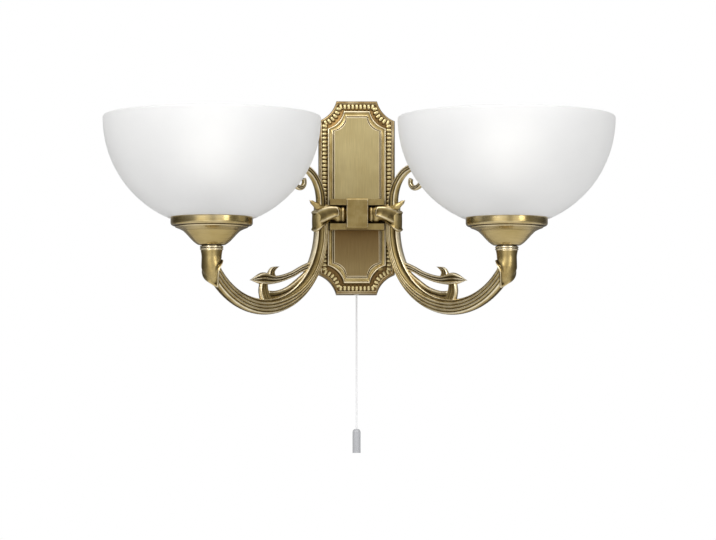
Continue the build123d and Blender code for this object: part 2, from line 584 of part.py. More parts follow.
with BuildPart() as right_arm:
    # reeded stem and arc
    with BuildSketch(STEM_PLANE):
        RectangleRounded(ARM_HEIGHT, ARM_THICKNESS, ARM_THICKNESS * 0.4)
        with GridLocations(REED_PITCH, ARM_THICKNESS + 2 * (REED_PROUD - REED_RADIUS), REED_COUNT, 2):
            Circle(REED_RADIUS)
        with Locations((ARM_HEIGHT / 2 + CHANNEL_RADIUS - CHANNEL_DEPTH, 0)):
            Circle(CHANNEL_RADIUS, mode=Mode.SUBTRACT)
    sweep(path=Wire(ROUTE))
    # sleeve round the end of the arm
    with BuildSketch(Plane(origin=ROUTE[3] @ 1, z_dir=(0, 0, -1))):
        Circle(SLEEVE_RADIUS)
    sweep(path=Wire([ROUTE[2], ROUTE[3]]))
    # tendril: rises from the stem, turns over and scrolls in
    with BuildLine(ARM_PLANE) as tendril_line:
        rise_arc = CenterArc(
            (STEM_S + TENDRIL_RISE_RADIUS, STEM_TOP_Z), TENDRIL_RISE_RADIUS, 180, -TENDRIL_RISE_ANGLE
        )
    rise = math.radians(TENDRIL_RISE_ANGLE)
    RISE_S = STEM_S + TENDRIL_RISE_RADIUS * (1 - math.cos(rise))
    RISE_Z = STEM_TOP_Z + TENDRIL_RISE_RADIUS * math.sin(rise)
    TOP_S = RISE_S + TENDRIL_TOP_RADIUS * math.cos(rise)
    TOP_Z = RISE_Z + TENDRIL_TOP_RADIUS * (1 - math.sin(rise))
    with BuildLine(ARM_PLANE) as scroll_line:
        CenterArc(
            (TOP_S, TOP_Z - TENDRIL_TOP_RADIUS),
            TENDRIL_TOP_RADIUS,
            180 - TENDRIL_RISE_ANGLE,
            TENDRIL_RISE_ANGLE - 90,
        )
        CenterArc((TOP_S, TOP_Z - SCROLL_RADIUS), SCROLL_RADIUS, 90, -180)
        CenterArc(
            (TOP_S, TOP_Z - 2 * SCROLL_RADIUS + SCROLL_END_RADIUS),
            SCROLL_END_RADIUS,
            270,
            -SCROLL_END_ANGLE,
        )
    with BuildSketch(Plane(origin=arm_point(STEM_S, STEM_TOP_Z), z_dir=(0, 0, 1))):
        Circle(TENDRIL_RADIUS)
    sweep(path=Wire(tendril_line.edges() + scroll_line.edges()))
    # leaf spray, curl and hook
    with BuildSketch(ARM_PLANE):
        with BuildLine():
            upper = Spline(*on_arc(SPRAY_TOP + LEAF_TIP))
            lower = Spline(*on_arc(LEAF_TIP + SPRAY_LOW))
            Line(lower @ 1, upper @ 0)
        make_face()
        with BuildLine():
            Polyline(*on_arc(CURL), close=True)
        make_face()
        with BuildLine():
            Polyline(*on_arc(HOOK_TOP + HOOK_INNER + HOOK_OUTER + HOOK_BASE), close=True)
        make_face()
    extrude(amount=LEAF_THICKNESS / 2, both=True)
    # tie band round the stem, with its spur
    with BuildSketch(ARM_PLANE):
        with BuildLine():
            Polyline(
                (TIE_OUT_S, TIE_OUT_TOP_Z),
                (TIE_OUT_S, TIE_OUT_LOW_Z),
                (TIE_IN_S, TIE_IN_LOW_Z),
                (TIE_IN_S, TIE_IN_TOP_Z),
                close=True,
            )
        make_face()
    extrude(amount=TIE_THICKNESS / 2, both=True)
    with BuildSketch(ARM_PLANE):
        with BuildLine():
            Polyline(
                (STEM_S, SPUR_BASE_Z[0]),
                (STEM_S + SPUR_REACH, SPUR_TIP_Z),
                (TIE_OUT_S, SPUR_BASE_Z[1]),
                (STEM_S, SPUR_BASE_Z[1]),
                close=True,
            )
        make_face()
    extrude(amount=SPUR_THICKNESS / 2, both=True)
    # root that lies in the saddle's channel
    with BuildSketch(Plane.YZ.offset(ROOT_END_X)):
        with Locations((STEM_Y, ROOT_Z)):
            Circle(ROOT_RADIUS)
    extrude(amount=STEM_X - ROOT_END_X)
    with BuildSketch(Plane.YZ.offset(HOOK_X)):
        with Locations((STEM_Y, ROOT_Z)):
            Circle(HOOK_RADIUS)
    extrude(amount=HOOK_WIDTH)
    add(saddle_room(BLOCK_HALF_WIDTH), mode=Mode.SUBTRACT)
    # bore for the lead, from the root round to the sleeve
    with BuildSketch(Plane.YZ.offset(ROOT_END_X)):
        with Locations((STEM_Y, ROOT_Z)):
            Circle(BORE_RADIUS)
    sweep(path=Wire(LEAD_IN_ARM), mode=Mode.SUBTRACT)
    # threads of the root nipple and the cup nipple
    with BuildSketch(Plane.YZ.offset(ROOT_END_X)):
        with Locations((STEM_Y, ROOT_Z)):
            Circle(ROOT_NIPPLE_RADIUS + FIT)
    extrude(amount=ROOT_NIPPLE_GRIP, mode=Mode.SUBTRACT)
    with BuildSketch(Plane.XY.offset(SLEEVE_TOP_Z)):
        with Locations((CUP_X, CUP_Y)):
            Circle(CUP_NIPPLE_RADIUS + FIT)
    extrude(amount=-CUP_NIPPLE_GRIP, mode=Mode.SUBTRACT)
save(right_arm, "right_arm")

with BuildPart() as left_arm:
    add(mirror(right_arm.part, about=Plane.YZ))
save(left_arm, "left_arm")

with BuildPart() as root_nipples:
    with BuildSketch(Plane.YZ.offset(NIPPLE_IN_X)):
        with Locations((STEM_Y, ROOT_Z)):
            Circle(ROOT_NIPPLE_RADIUS)
            Circle(ROOT_NIPPLE_BORE, mode=Mode.SUBTRACT)
    extrude(amount=ROOT_END_X + ROOT_NIPPLE_GRIP - NIPPLE_IN_X)
    mirror(about=Plane.YZ)
save(root_nipples, "root_nipples")

with BuildPart() as root_nuts:
    with BuildSketch(Plane.YZ.offset(POCKET_HALF_WIDTH)):
        with Locations((STEM_Y, ROOT_Z)):
            RegularPolygon(NUT_ACROSS_FLATS / 2, 6, major_radius=False, rotation=30)
            Circle(ROOT_NIPPLE_RADIUS + FIT, mode=Mode.SUBTRACT)
    extrude(amount=-NUT_THICKNESS)
    mirror(about=Plane.YZ)
save(root_nuts, "root_nuts")


# ---------------------------------------------------------------- collars, cups and shades
def turned(points: list[tuple[float, float]], sign: int) -> Part:
    """A piece turned about one cup's upright axis, from its (radius, z) profile."""
    axis = Plane(origin=(sign * CUP_X, CUP_Y, 0), x_dir=(1, 0, 0), z_dir=(0, -1, 0))
    with BuildPart() as piece:
        with BuildSketch(axis):
            with BuildLine():
                Polyline(*points, close=True)
            make_face()
        revolve(axis=Axis(axis.origin, (0, 0, 1)))
    return piece.part


COLLAR_TOP_Z = SLEEVE_TOP_Z + COLLAR_HEIGHT
CUP_FLOOR_Z = COLLAR_TOP_Z + CUP_NECK_HEIGHT + CUP_WALL
CUP_HOLE = CUP_NIPPLE_RADIUS + FIT
SHADE_INNER = SHADE_RADIUS - SHADE_WALL
RING_Z = SHADE_CENTRE_Z - math.sqrt(SHADE_INNER**2 - RING_RADIUS**2) + SEAT
SHELL_TOP_Z = HOLDER_TOP_Z - SHELL_WALL
COLLAR = [
    (CUP_HOLE, SLEEVE_TOP_Z),
    (COLLAR_RADIUS - 0.5, SLEEVE_TOP_Z),
    (COLLAR_RADIUS, SLEEVE_TOP_Z + 0.5),
    (COLLAR_RADIUS, COLLAR_TOP_Z - 0.5),
    (COLLAR_RADIUS - 0.5, COLLAR_TOP_Z),
    (CUP_HOLE, COLLAR_TOP_Z),
]
CUP = [
    (CUP_HOLE, COLLAR_TOP_Z),
    (CUP_NECK_RADIUS, COLLAR_TOP_Z),
    (CUP_NECK_RADIUS, COLLAR_TOP_Z + CUP_NECK_HEIGHT),
    (CUP_FOOT_RADIUS, CUP_FOOT_Z),
    (CUP_BELL_RADIUS, CUP_BELL_Z),
    (CUP_WAIST_RADIUS, CUP_WAIST_Z),
    (CUP_RIM_RADIUS, CUP_RIM_Z - CUP_RIM_HEIGHT),
    (CUP_RIM_RADIUS, CUP_RIM_Z),
    (CUP_RIM_RADIUS - CUP_WALL, CUP_RIM_Z),
    (CUP_WAIST_RADIUS - CUP_WALL, CUP_WAIST_Z + CUP_WALL),
    (CUP_BELL_RADIUS - CUP_WALL, CUP_BELL_Z),
    (CUP_FOOT_RADIUS, CUP_FLOOR_Z),
    (CUP_HOLE, CUP_FLOOR_Z),
]
HOLDER = [
    (CUP_NIPPLE_BORE, HOLDER_NECK_Z),
    (HOLDER_NECK_RADIUS, HOLDER_NECK_Z),
    (HOLDER_NECK_RADIUS, HOLDER_BASE_Z),
    (HOLDER_RADIUS, HOLDER_BASE_Z),
    (HOLDER_RADIUS, HOLDER_TOP_Z),
    (SHELL_RADIUS, HOLDER_TOP_Z),
    (SHELL_RADIUS, SOCKET_FLOOR_Z),
    (CUP_NIPPLE_BORE, SOCKET_FLOOR_Z),
]
SHELL = [
    (SHELL_RADIUS - SHELL_WALL, SOCKET_FLOOR_Z + CONTACT_HEIGHT),
    (SHELL_RADIUS, SOCKET_FLOOR_Z + CONTACT_HEIGHT),
    (SHELL_RADIUS, SHELL_TOP_Z),
    (SHELL_RADIUS - SHELL_WALL, SHELL_TOP_Z),
]
CONTACT = [
    (0, SOCKET_FLOOR_Z),
    (CONTACT_RADIUS * 2, SOCKET_FLOOR_Z),
    (CONTACT_RADIUS * 2, SOCKET_FLOOR_Z + CONTACT_HEIGHT / 3),
    (CONTACT_RADIUS, SOCKET_FLOOR_Z + CONTACT_HEIGHT / 3),
    (CONTACT_RADIUS, SOCKET_FLOOR_Z + CONTACT_HEIGHT),
    (0, SOCKET_FLOOR_Z + CONTACT_HEIGHT),
]
RING = [
    (HOLDER_RADIUS + FIT, RING_Z),
    (RING_RADIUS, RING_Z),
    (RING_RADIUS, RING_Z + RING_THICKNESS),
    (RING_SKIRT_RADIUS, RING_Z + RING_THICKNESS),
    (RING_SKIRT_RADIUS, RING_Z + RING_SKIRT_HEIGHT),
    (HOLDER_RADIUS + FIT, RING_Z + RING_SKIRT_HEIGHT),
]
CAP = [
    (0, BULB_TIP_Z),
    (CAP_TIP_RADIUS, BULB_TIP_Z),
    (CAP_RADIUS, CAP_BOTTOM_Z),
    (CAP_RADIUS, SHELL_TOP_Z),
    (CAP_RADIUS - CAP_WALL, SHELL_TOP_Z),
    (CAP_RADIUS - CAP_WALL, CAP_BOTTOM_Z + CAP_WALL),
    (0, CAP_BOTTOM_Z + CAP_WALL),
]


def nipple_and_nut(sign: int) -> tuple[Part, Part]:
    """The threaded tube that joins one arm, collar and cup, and its nut inside the cup."""
    with BuildPart() as tube:
        with BuildSketch(Plane.XY.offset(SLEEVE_TOP_Z - CUP_NIPPLE_GRIP)):
            with Locations((sign * CUP_X, CUP_Y)):
                Circle(CUP_NIPPLE_RADIUS)
                Circle(CUP_NIPPLE_BORE, mode=Mode.SUBTRACT)
        extrude(amount=HOLDER_NECK_Z - SEAT - SLEEVE_TOP_Z + CUP_NIPPLE_GRIP)
    with BuildPart() as nut:
        with BuildSketch(Plane.XY.offset(CUP_FLOOR_Z)):
            with Locations((sign * CUP_X, CUP_Y)):
                RegularPolygon(CUP_NUT_ACROSS_FLATS / 2, 6, major_radius=False)
                Circle(CUP_HOLE, mode=Mode.SUBTRACT)
        extrude(amount=CUP_NUT_THICKNESS)
    return tube.part, nut.part


def shade_bowl(sign: int) -> Part:
    """One opal bowl: a half ball shell with a rounded lip and a hole for the lampholder."""
    centre = Plane(origin=(sign * CUP_X, CUP_Y, SHADE_CENTRE_Z), x_dir=(1, 0, 0), z_dir=(0, -1, 0))
    hole_out = -math.sqrt(SHADE_RADIUS**2 - SHADE_HOLE_RADIUS**2)
    hole_in = -math.sqrt(SHADE_INNER**2 - SHADE_HOLE_RADIUS**2)
    with BuildPart() as bowl:
        with BuildSketch(centre):
            with BuildLine():
                outside = RadiusArc((SHADE_HOLE_RADIUS, hole_out), (SHADE_RADIUS, 0), -SHADE_RADIUS)
                lip = ThreePointArc(
                    outside @ 1,
                    (SHADE_RADIUS - SHADE_WALL / 2, SHADE_WALL / 2),
                    (SHADE_INNER, 0),
                )
                inside = RadiusArc(lip @ 1, (SHADE_HOLE_RADIUS, hole_in), SHADE_INNER)
                Line(inside @ 1, outside @ 0)
            make_face()
        revolve(axis=Axis(centre.origin, (0, 0, 1)))
    return bowl.part


def bulb_envelope(sign: int) -> Part:
    """One bulb's glass: a thin ball drawn down to a neck that stands in the cap."""
    axis = Plane(origin=(sign * CUP_X, CUP_Y, 0), x_dir=(1, 0, 0), z_dir=(0, -1, 0))
    neck_z = SHELL_TOP_Z + BULB_NECK_LENGTH
    drop = math.sqrt(BULB_RADIUS**2 - BULB_NECK_RADIUS**2)
    inner = BULB_RADIUS - BULB_GLASS_WALL
    inner_neck = BULB_NECK_RADIUS - BULB_GLASS_WALL
    inner_drop = math.sqrt(inner**2 - inner_neck**2)
    with BuildPart() as envelope:
        with BuildSketch(axis):
            with BuildLine():
                Polyline(
                    (0, SHELL_TOP_Z),
                    (CAP_RADIUS, SHELL_TOP_Z),
                    (BULB_NECK_RADIUS, neck_z),
                    (BULB_NECK_RADIUS, BULB_CENTRE_Z - drop),
                )
                ThreePointArc(
                    (BULB_NECK_RADIUS, BULB_CENTRE_Z - drop),
                    (BULB_RADIUS, BULB_CENTRE_Z),
                    (0, BULB_CENTRE_Z + BULB_RADIUS),
                )
                Line((0, BULB_CENTRE_Z + BULB_RADIUS), (0, BULB_CENTRE_Z + inner))
                ThreePointArc(
                    (0, BULB_CENTRE_Z + inner),
                    (inner, BULB_CENTRE_Z),
                    (inner_neck, BULB_CENTRE_Z - inner_drop),
                )
                Polyline(
                    (inner_neck, BULB_CENTRE_Z - inner_drop),
                    (inner_neck, neck_z),
                    (CAP_RADIUS - BULB_GLASS_WALL, SHELL_TOP_Z + BULB_GLASS_WALL),
                    (0, SHELL_TOP_Z + BULB_GLASS_WALL),
                    (0, SHELL_TOP_Z),
                )
            make_face()
        revolve(axis=Axis(axis.origin, (0, 0, 1)))
    return envelope.part


for side, sign in (("left", -1), ("right", 1)):
    with BuildPart() as collar:
        add(turned(COLLAR, sign))
    save(collar, f"{side}_collar")

    with BuildPart() as cup:
        add(turned(CUP, sign))
        with Locations((sign * CUP_X, CUP_Y, SHADE_CENTRE_Z)):
            Sphere(SHADE_RADIUS + SEAT, mode=Mode.SUBTRACT)
    save(cup, f"{side}_cup")

    tube_part, nut_part = nipple_and_nut(sign)
    with BuildPart() as cup_nipple:
        add(tube_part)
    save(cup_nipple, f"{side}_cup_nipple")

    with BuildPart() as cup_nut:
        add(nut_part)
    save(cup_nut, f"{side}_cup_nut")

    with BuildPart() as lampholder:
        add(turned(HOLDER, sign))
    save(lampholder, f"{side}_lampholder")

    with BuildPart() as socket_shell:
        add(turned(SHELL, sign))
    save(socket_shell, f"{side}_socket_shell")

    with BuildPart() as centre_contact:
        add(turned(CONTACT, sign))
    save(centre_contact, f"{side}_centre_contact")

    with BuildPart() as shade_ring:
        add(turned(RING, sign))
    save(shade_ring, f"{side}_shade_ring")

    with BuildPart() as shade:
        add(shade_bowl(sign))
    save(shade, f"{side}_shade")

    with BuildPart() as bulb_glass:
        add(bulb_envelope(sign))
    save(bulb_glass, f"{side}_bulb_glass")

    with BuildPart() as bulb_cap:
        add(turned(CAP, sign))
    save(bulb_cap, f"{side}_bulb_cap")

# ---------------------------------------------------------------- terminal block
BLOCK_LENGTH = TERMINAL_PITCH * TERMINAL_POLES
TERMINAL_MID_Z = TERMINAL_BOTTOM_Z + TERMINAL_HEIGHT / 2
TERMINAL_FRONT = STRAP_THICKNESS + TERMINAL_DEPTH
LEAD_DEPTH = STRAP_THICKNESS + TERMINAL_DEPTH / 2
SCREW_ZS = (TERMINAL_MID_Z - TERMINAL_SCREW_OFFSET, TERMINAL_MID_Z + TERMINAL_SCREW_OFFSET)
POLE_XS = [TERMINAL_PITCH * (pole - (TERMINAL_POLES - 1) / 2) for pole in range(TERMINAL_POLES)]
with BuildPart() as terminal_block:
    with BuildSketch(Plane.XZ.offset(STRAP_THICKNESS)):
        with Locations((0, TERMINAL_MID_Z)):
            Rectangle(BLOCK_LENGTH, TERMINAL_HEIGHT)
    extrude(amount=TERMINAL_DEPTH)
    with BuildSketch(Plane.XY.offset(TERMINAL_BOTTOM_Z)):
        with Locations([(x, -LEAD_DEPTH) for x in POLE_XS]):
            Circle(INSERT_RADIUS + FIT)
    extrude(amount=TERMINAL_HEIGHT, mode=Mode.SUBTRACT)
    with BuildSketch(Plane.XZ.offset(LEAD_DEPTH)):
        with Locations([(x, z) for x in POLE_XS for z in SCREW_ZS]):
            Circle(TERMINAL_SCREW_RADIUS + FIT)
    extrude(amount=TERMINAL_DEPTH / 2, mode=Mode.SUBTRACT)
save(terminal_block, "terminal_block")

with BuildPart() as terminal_inserts:
    with BuildSketch(Plane.XY.offset(TERMINAL_BOTTOM_Z + 1)):
        with Locations([(x, -LEAD_DEPTH) for x in POLE_XS]):
            Circle(INSERT_RADIUS)
            Circle(INSERT_BORE, mode=Mode.SUBTRACT)
    extrude(amount=TERMINAL_HEIGHT - 2)
    with BuildSketch(Plane.XZ.offset(LEAD_DEPTH)):
        with Locations([(x, z) for x in POLE_XS for z in SCREW_ZS]):
            Circle(TERMINAL_SCREW_RADIUS + FIT)
    extrude(amount=TERMINAL_DEPTH / 2, mode=Mode.SUBTRACT)
save(terminal_inserts, "terminal_inserts")

with BuildPart() as terminal_screws:
    with BuildSketch(Plane.XZ.offset(LEAD_DEPTH + INSERT_BORE)):
        with Locations([(x, z) for x in POLE_XS for z in SCREW_ZS]):
            Circle(TERMINAL_SCREW_RADIUS)
    extrude(amount=TERMINAL_DEPTH / 2 - INSERT_BORE - TERMINAL_SCREW_RECESS)
save(terminal_screws, "terminal_screws")

# ---------------------------------------------------------------- leads
LEAD_TOP_Z = TERMINAL_BOTTOM_Z - SEAT
LEAD_TURN = 8.0


def lamp_lead(sign: int) -> Part:
    """The lead from a pole of the terminal block, through one arm, to its lampholder."""
    pole_x = TERMINAL_PITCH / 2
    route = [
        (pole_x, -LEAD_DEPTH, LEAD_TOP_Z),
        (pole_x, -LEAD_DEPTH, LEAD_TOP_Z - 2 * LEAD_TURN),
        (LEAD_X, -LEAD_DEPTH, ROOT_Z + 3 * LEAD_TURN),
        (LEAD_X, -LEAD_DEPTH, ROOT_Z),
        (LEAD_X, STEM_Y, ROOT_Z),
        (STEM_X, STEM_Y, ROOT_Z),
        (STEM_X, STEM_Y, ARM_ARC_Z),
    ]
    radii = [LEAD_TURN, LEAD_TURN, LEAD_TURN * 0.7, NIPPLE_IN_X - LEAD_X, ROOT_TURN_RADIUS]
    print("lead radii", [round(radius, 2) for radius in radii])
    with BuildPart() as lead:
        with BuildLine() as inside:
            FilletPolyline(*route, radius=radii)
        with BuildSketch(Plane(origin=route[0], z_dir=(0, 0, -1))):
            Circle(WIRE_RADIUS)
        sweep(path=Wire(inside.edges() + ROUTE[1:3] + [LEAD_END]))
    if sign < 0:
        return mirror(lead.part, about=Plane.YZ)
    return lead.part


for side, sign in (("left", -1), ("right", 1)):
    with BuildPart() as arm_lead:
        add(lamp_lead(sign))
    save(arm_lead, f"{side}_arm_lead")

with BuildPart() as switch_lead:
    with BuildSketch(Plane.XY.offset(SWITCH_TOP)):
        with Locations((POLE_XS[-1], -LEAD_DEPTH)):
            Circle(WIRE_RADIUS)
    extrude(amount=LEAD_TOP_Z - SWITCH_TOP)
save(switch_lead, "switch_lead")

# ---------------------------------------------------------------- pull switch
SWITCH_WIDTH = SWITCH_RIGHT - SWITCH_LEFT
SWITCH_MID_X = (SWITCH_RIGHT + SWITCH_LEFT) / 2
SWITCH_MID_Z = (SWITCH_TOP + SWITCH_BOTTOM) / 2
SWITCH_HEIGHT = SWITCH_TOP - SWITCH_BOTTOM
COVER_BACK = SWITCH_FRONT - SWITCH_COVER
EAR_XS = (SWITCH_LEFT - EAR_REACH / 2, SWITCH_RIGHT + EAR_REACH / 2)
DRUM_BACK = CORD_DEPTH - DRUM_WIDTH / 2
STRIP_LENGTH = (SWITCH_HEIGHT - 2 * SWITCH_WALL - STRIP_GAP - 1) / 2
STRIP_X = SWITCH_RIGHT - SWITCH_WALL - STRIP_THICKNESS / 2
STRIP_SHIFT = (STRIP_GAP + STRIP_LENGTH) / 2
with BuildPart() as switch_housing:
    with BuildSketch(Plane.XZ.offset(SWITCH_BACK)):
        with Locations((SWITCH_MID_X, SWITCH_MID_Z)):
            Rectangle(SWITCH_WIDTH, SWITCH_HEIGHT)
    extrude(amount=COVER_BACK - SWITCH_BACK)
    with BuildSketch(Plane.XZ.offset(SWITCH_BACK + SWITCH_WALL)):
        with Locations((SWITCH_MID_X, SWITCH_MID_Z)):
            Rectangle(SWITCH_WIDTH - 2 * SWITCH_WALL, SWITCH_HEIGHT - 2 * SWITCH_WALL)
    extrude(amount=COVER_BACK - SWITCH_BACK - SWITCH_WALL, mode=Mode.SUBTRACT)
    with BuildSketch(Plane.XZ.offset(SWITCH_BACK + SWITCH_WALL)):
        with Locations((DRUM_X, DRUM_Z)):
            Circle(AXLE_RADIUS)
    extrude(amount=COVER_BACK - SWITCH_BACK - SWITCH_WALL)
    with BuildSketch(Plane.XY.offset(SWITCH_BOTTOM)):
        with Locations((0, -CORD_DEPTH)):
            Circle(CORD_RADIUS * 2)
    extrude(amount=SWITCH_WALL, mode=Mode.SUBTRACT)
save(switch_housing, "switch_housing")

with BuildPart() as switch_cover:
    with BuildSketch(Plane.XZ.offset(COVER_BACK)):
        with Locations((SWITCH_MID_X, SWITCH_MID_Z)):
            Rectangle(SWITCH_WIDTH, SWITCH_HEIGHT)
    extrude(amount=SWITCH_COVER)
    with BuildSketch(Plane.XZ.offset(SWITCH_FRONT - EAR_THICKNESS)):
        with Locations((EAR_XS[0], DRUM_Z), (EAR_XS[1], DRUM_Z)):
            Rectangle(EAR_REACH, 2 * EAR_HALF_HEIGHT)
            Circle(EAR_SCREW_RADIUS + FIT, mode=Mode.SUBTRACT)
    extrude(amount=EAR_THICKNESS)
save(switch_cover, "switch_cover")

with BuildPart() as switch_screws:
    with BuildSketch(Plane.XZ.offset(SWITCH_FRONT - EAR_THICKNESS - EAR_HEAD_HEIGHT)):
        with Locations((EAR_XS[0], DRUM_Z), (EAR_XS[1], DRUM_Z)):
            Circle(EAR_HEAD_RADIUS)
    extrude(amount=EAR_HEAD_HEIGHT)
    with BuildSketch(Plane.XZ.offset(SWITCH_FRONT - EAR_THICKNESS)):
        with Locations((EAR_XS[0], DRUM_Z), (EAR_XS[1], DRUM_Z)):
            Circle(EAR_SCREW_RADIUS)
    extrude(amount=EAR_SCREW_LENGTH - SEAT)
save(switch_screws, "switch_screws")

with BuildPart() as switch_drum:
    with BuildSketch(Plane.XZ.offset(DRUM_BACK)):
        with Locations((DRUM_X, DRUM_Z)):
            Circle(DRUM_FLANGE_RADIUS)
    extrude(amount=DRUM_WIDTH)
    with BuildSketch(Plane.XZ.offset(CORD_DEPTH - DRUM_GROOVE_WIDTH / 2)):
        with Locations((DRUM_X, DRUM_Z)):
            Circle(DRUM_FLANGE_RADIUS)
            Circle(DRUM_CORD_RADIUS - CORD_RADIUS - SEAT, mode=Mode.SUBTRACT)
    extrude(amount=DRUM_GROOVE_WIDTH, mode=Mode.SUBTRACT)
    with BuildSketch(Plane.XZ.offset(DRUM_BACK)):
        with Locations((DRUM_X, DRUM_Z)):
            Circle(AXLE_RADIUS + FIT)
    extrude(amount=DRUM_WIDTH, mode=Mode.SUBTRACT)
save(switch_drum, "switch_drum")

with BuildPart() as return_spring:
    with BuildSketch(Plane.XZ.offset(SWITCH_BACK + SWITCH_WALL)):
        with Locations((DRUM_X, DRUM_Z)):
            Circle(SPRING_RADIUS)
            Circle(SPRING_BORE, mode=Mode.SUBTRACT)
    extrude(amount=SPRING_WIDTH)
save(return_spring, "return_spring")

with BuildPart() as switch_contacts:
    with BuildSketch(Plane.XZ.offset(SWITCH_BACK + SWITCH_WALL)):
        with Locations((STRIP_X, SWITCH_MID_Z + STRIP_SHIFT), (STRIP_X, SWITCH_MID_Z - STRIP_SHIFT)):
            Rectangle(STRIP_THICKNESS, STRIP_LENGTH)
    extrude(amount=STRIP_WIDTH)
save(switch_contacts, "switch_contacts")

# ---------------------------------------------------------------- cord, bush and bell
with BuildPart() as cord_bush:
    with BuildSketch(Plane.XY.offset(BUSH_END_Z)):
        with Locations((0, -CORD_DEPTH)):
            Circle(BUSH_RADIUS)
    extrude(amount=PLATE_WALL + BUSH_PROUD)
    with BuildSketch(Plane.XY.offset(BUSH_END_Z + PLATE_WALL + BUSH_PROUD)):
        with Locations((0, -CORD_DEPTH)):
            Circle(BUSH_FLANGE_RADIUS)
    extrude(amount=BUSH_FLANGE_HEIGHT)
    with BuildSketch(Plane.XY.offset(BUSH_END_Z)):
        with Locations((0, -CORD_DEPTH)):
            Circle(CORD_RADIUS + SEAT)
    extrude(amount=PLATE_WALL + BUSH_PROUD + BUSH_FLANGE_HEIGHT, mode=Mode.SUBTRACT)
save(cord_bush, "cord_bush")

with BuildPart() as inner_cord:
    with BuildSketch(Plane.XY.offset(BUSH_END_Z)):
        with Locations((0, -CORD_DEPTH)):
            Circle(CORD_RADIUS)
    extrude(amount=DRUM_Z - BUSH_END_Z)
save(inner_cord, "inner_cord")

with BuildPart() as pull_cord:
    with BuildSketch(Plane.XY.offset(PIVOT_Z)):
        with Locations((0, -CORD_DEPTH)):
            Circle(CORD_RADIUS)
    extrude(amount=BELL_TOP_Z - CORD_TAIL - PIVOT_Z)
    with Locations((0, -CORD_DEPTH, PIVOT_Z)):
        Sphere(CORD_RADIUS)
save(pull_cord, "pull_cord")

with BuildPart() as pull_bell:
    with BuildSketch(Plane((0, -CORD_DEPTH, BELL_TOP_Z), x_dir=(1, 0, 0), z_dir=(0, -1, 0))):
        with BuildLine():
            crown = Line((CORD_RADIUS + FIT, 0), (BELL_RADIUS * 0.55, 0))
            dome = RadiusArc(crown @ 1, (BELL_RADIUS, -BELL_DOME), BELL_RADIUS)
            Polyline(
                dome @ 1,
                (BELL_RADIUS, -BELL_LENGTH),
                (BELL_CAVITY_RADIUS, -BELL_LENGTH),
                (BELL_CAVITY_RADIUS, -BELL_DOME),
                (CORD_RADIUS + FIT, -BELL_DOME),
                crown @ 0,
            )
        make_face()
    revolve(axis=Axis((0, -CORD_DEPTH, 0), (0, 0, 1)))
save(pull_bell, "pull_bell")

with BuildPart() as cord_knot:
    with Locations((0, -CORD_DEPTH, BELL_TOP_Z - CORD_TAIL - KNOT_RADIUS)):
        Sphere(KNOT_RADIUS)
save(cord_knot, "cord_knot")
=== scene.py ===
"""Double arm wall sconce in antique brass with opal bowls: dressed model, light and camera.

Sizes are in millimetres, as in the source of the solids, unless a comment says metres.
The wall is the plane y = 0, the lamp stands out towards -Y, +X is right and +Z is up.
"""

import logging
import math
from collections.abc import Callable, Sequence
from dataclasses import dataclass
from enum import Enum
from functools import partial

import bmesh
import bpy
import numpy as np
from mathutils import Matrix, Vector

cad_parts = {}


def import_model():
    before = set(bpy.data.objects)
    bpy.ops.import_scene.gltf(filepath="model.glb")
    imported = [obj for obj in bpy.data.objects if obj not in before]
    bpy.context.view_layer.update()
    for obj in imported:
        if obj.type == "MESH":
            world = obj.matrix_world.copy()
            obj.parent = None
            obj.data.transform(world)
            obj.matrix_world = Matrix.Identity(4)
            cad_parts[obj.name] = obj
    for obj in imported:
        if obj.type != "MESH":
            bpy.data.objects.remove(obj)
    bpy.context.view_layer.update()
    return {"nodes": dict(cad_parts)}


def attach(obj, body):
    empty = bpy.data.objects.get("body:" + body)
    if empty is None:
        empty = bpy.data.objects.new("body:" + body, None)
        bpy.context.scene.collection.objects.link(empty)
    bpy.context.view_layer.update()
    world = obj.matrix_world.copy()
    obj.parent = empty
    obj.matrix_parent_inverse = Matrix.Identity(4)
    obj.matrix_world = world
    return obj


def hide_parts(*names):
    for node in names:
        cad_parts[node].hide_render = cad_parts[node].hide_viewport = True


LOG = logging.getLogger("wall_sconce")
MM = 0.001
FULL_TURN = 2 * math.pi
# a Mix node's inputs by number: its factor, its two plain numbers and its two colours
FACTOR, NUMBER_A, NUMBER_B, COLOUR_A, COLOUR_B = 0, 2, 3, 6, 7

Point2 = tuple[float, float]
Point3 = tuple[float, float, float]
Spot = tuple[float, float, float, float]  # s and z in an arm's plane, and the direction there
Faces = list[tuple[int, ...]]
Painted = dict[str, np.ndarray]
Value = float | np.ndarray


class Body(Enum):
    """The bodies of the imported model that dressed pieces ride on."""

    PLATE = "wall_plate"
    HANGING_CORD = "hanging_cord"


class Slot(Enum):
    """The record's material slots."""

    BRASS = "antique_brass"
    SMALL_BRASS = "brass_small"
    ZINC_STEEL = "zinc_steel"
    SPRING_STEEL = "spring_steel"
    WHITE_PLASTIC = "white_plastic"
    BLACK_PLASTIC = "black_plastic"
    LEAD_SHEATH = "lead_sheath"
    CORD = "cord"
    BELL = "bell_plastic"
    OPAL_GLASS = "opal_glass"
    BULB_GLASS = "bulb_glass"
    BULB_CAP = "bulb_cap"


class Grain(Enum):
    """How a metal surface was worked: how finely its marks repeat along x, y and z."""

    CAST = (0.4, 0.4, 0.4)
    BRUSHED_UP = (1.0, 1.0, 0.03)
    TURNED = (0.03, 0.03, 1.0)


# ------------------------------------------------------------------ small tools


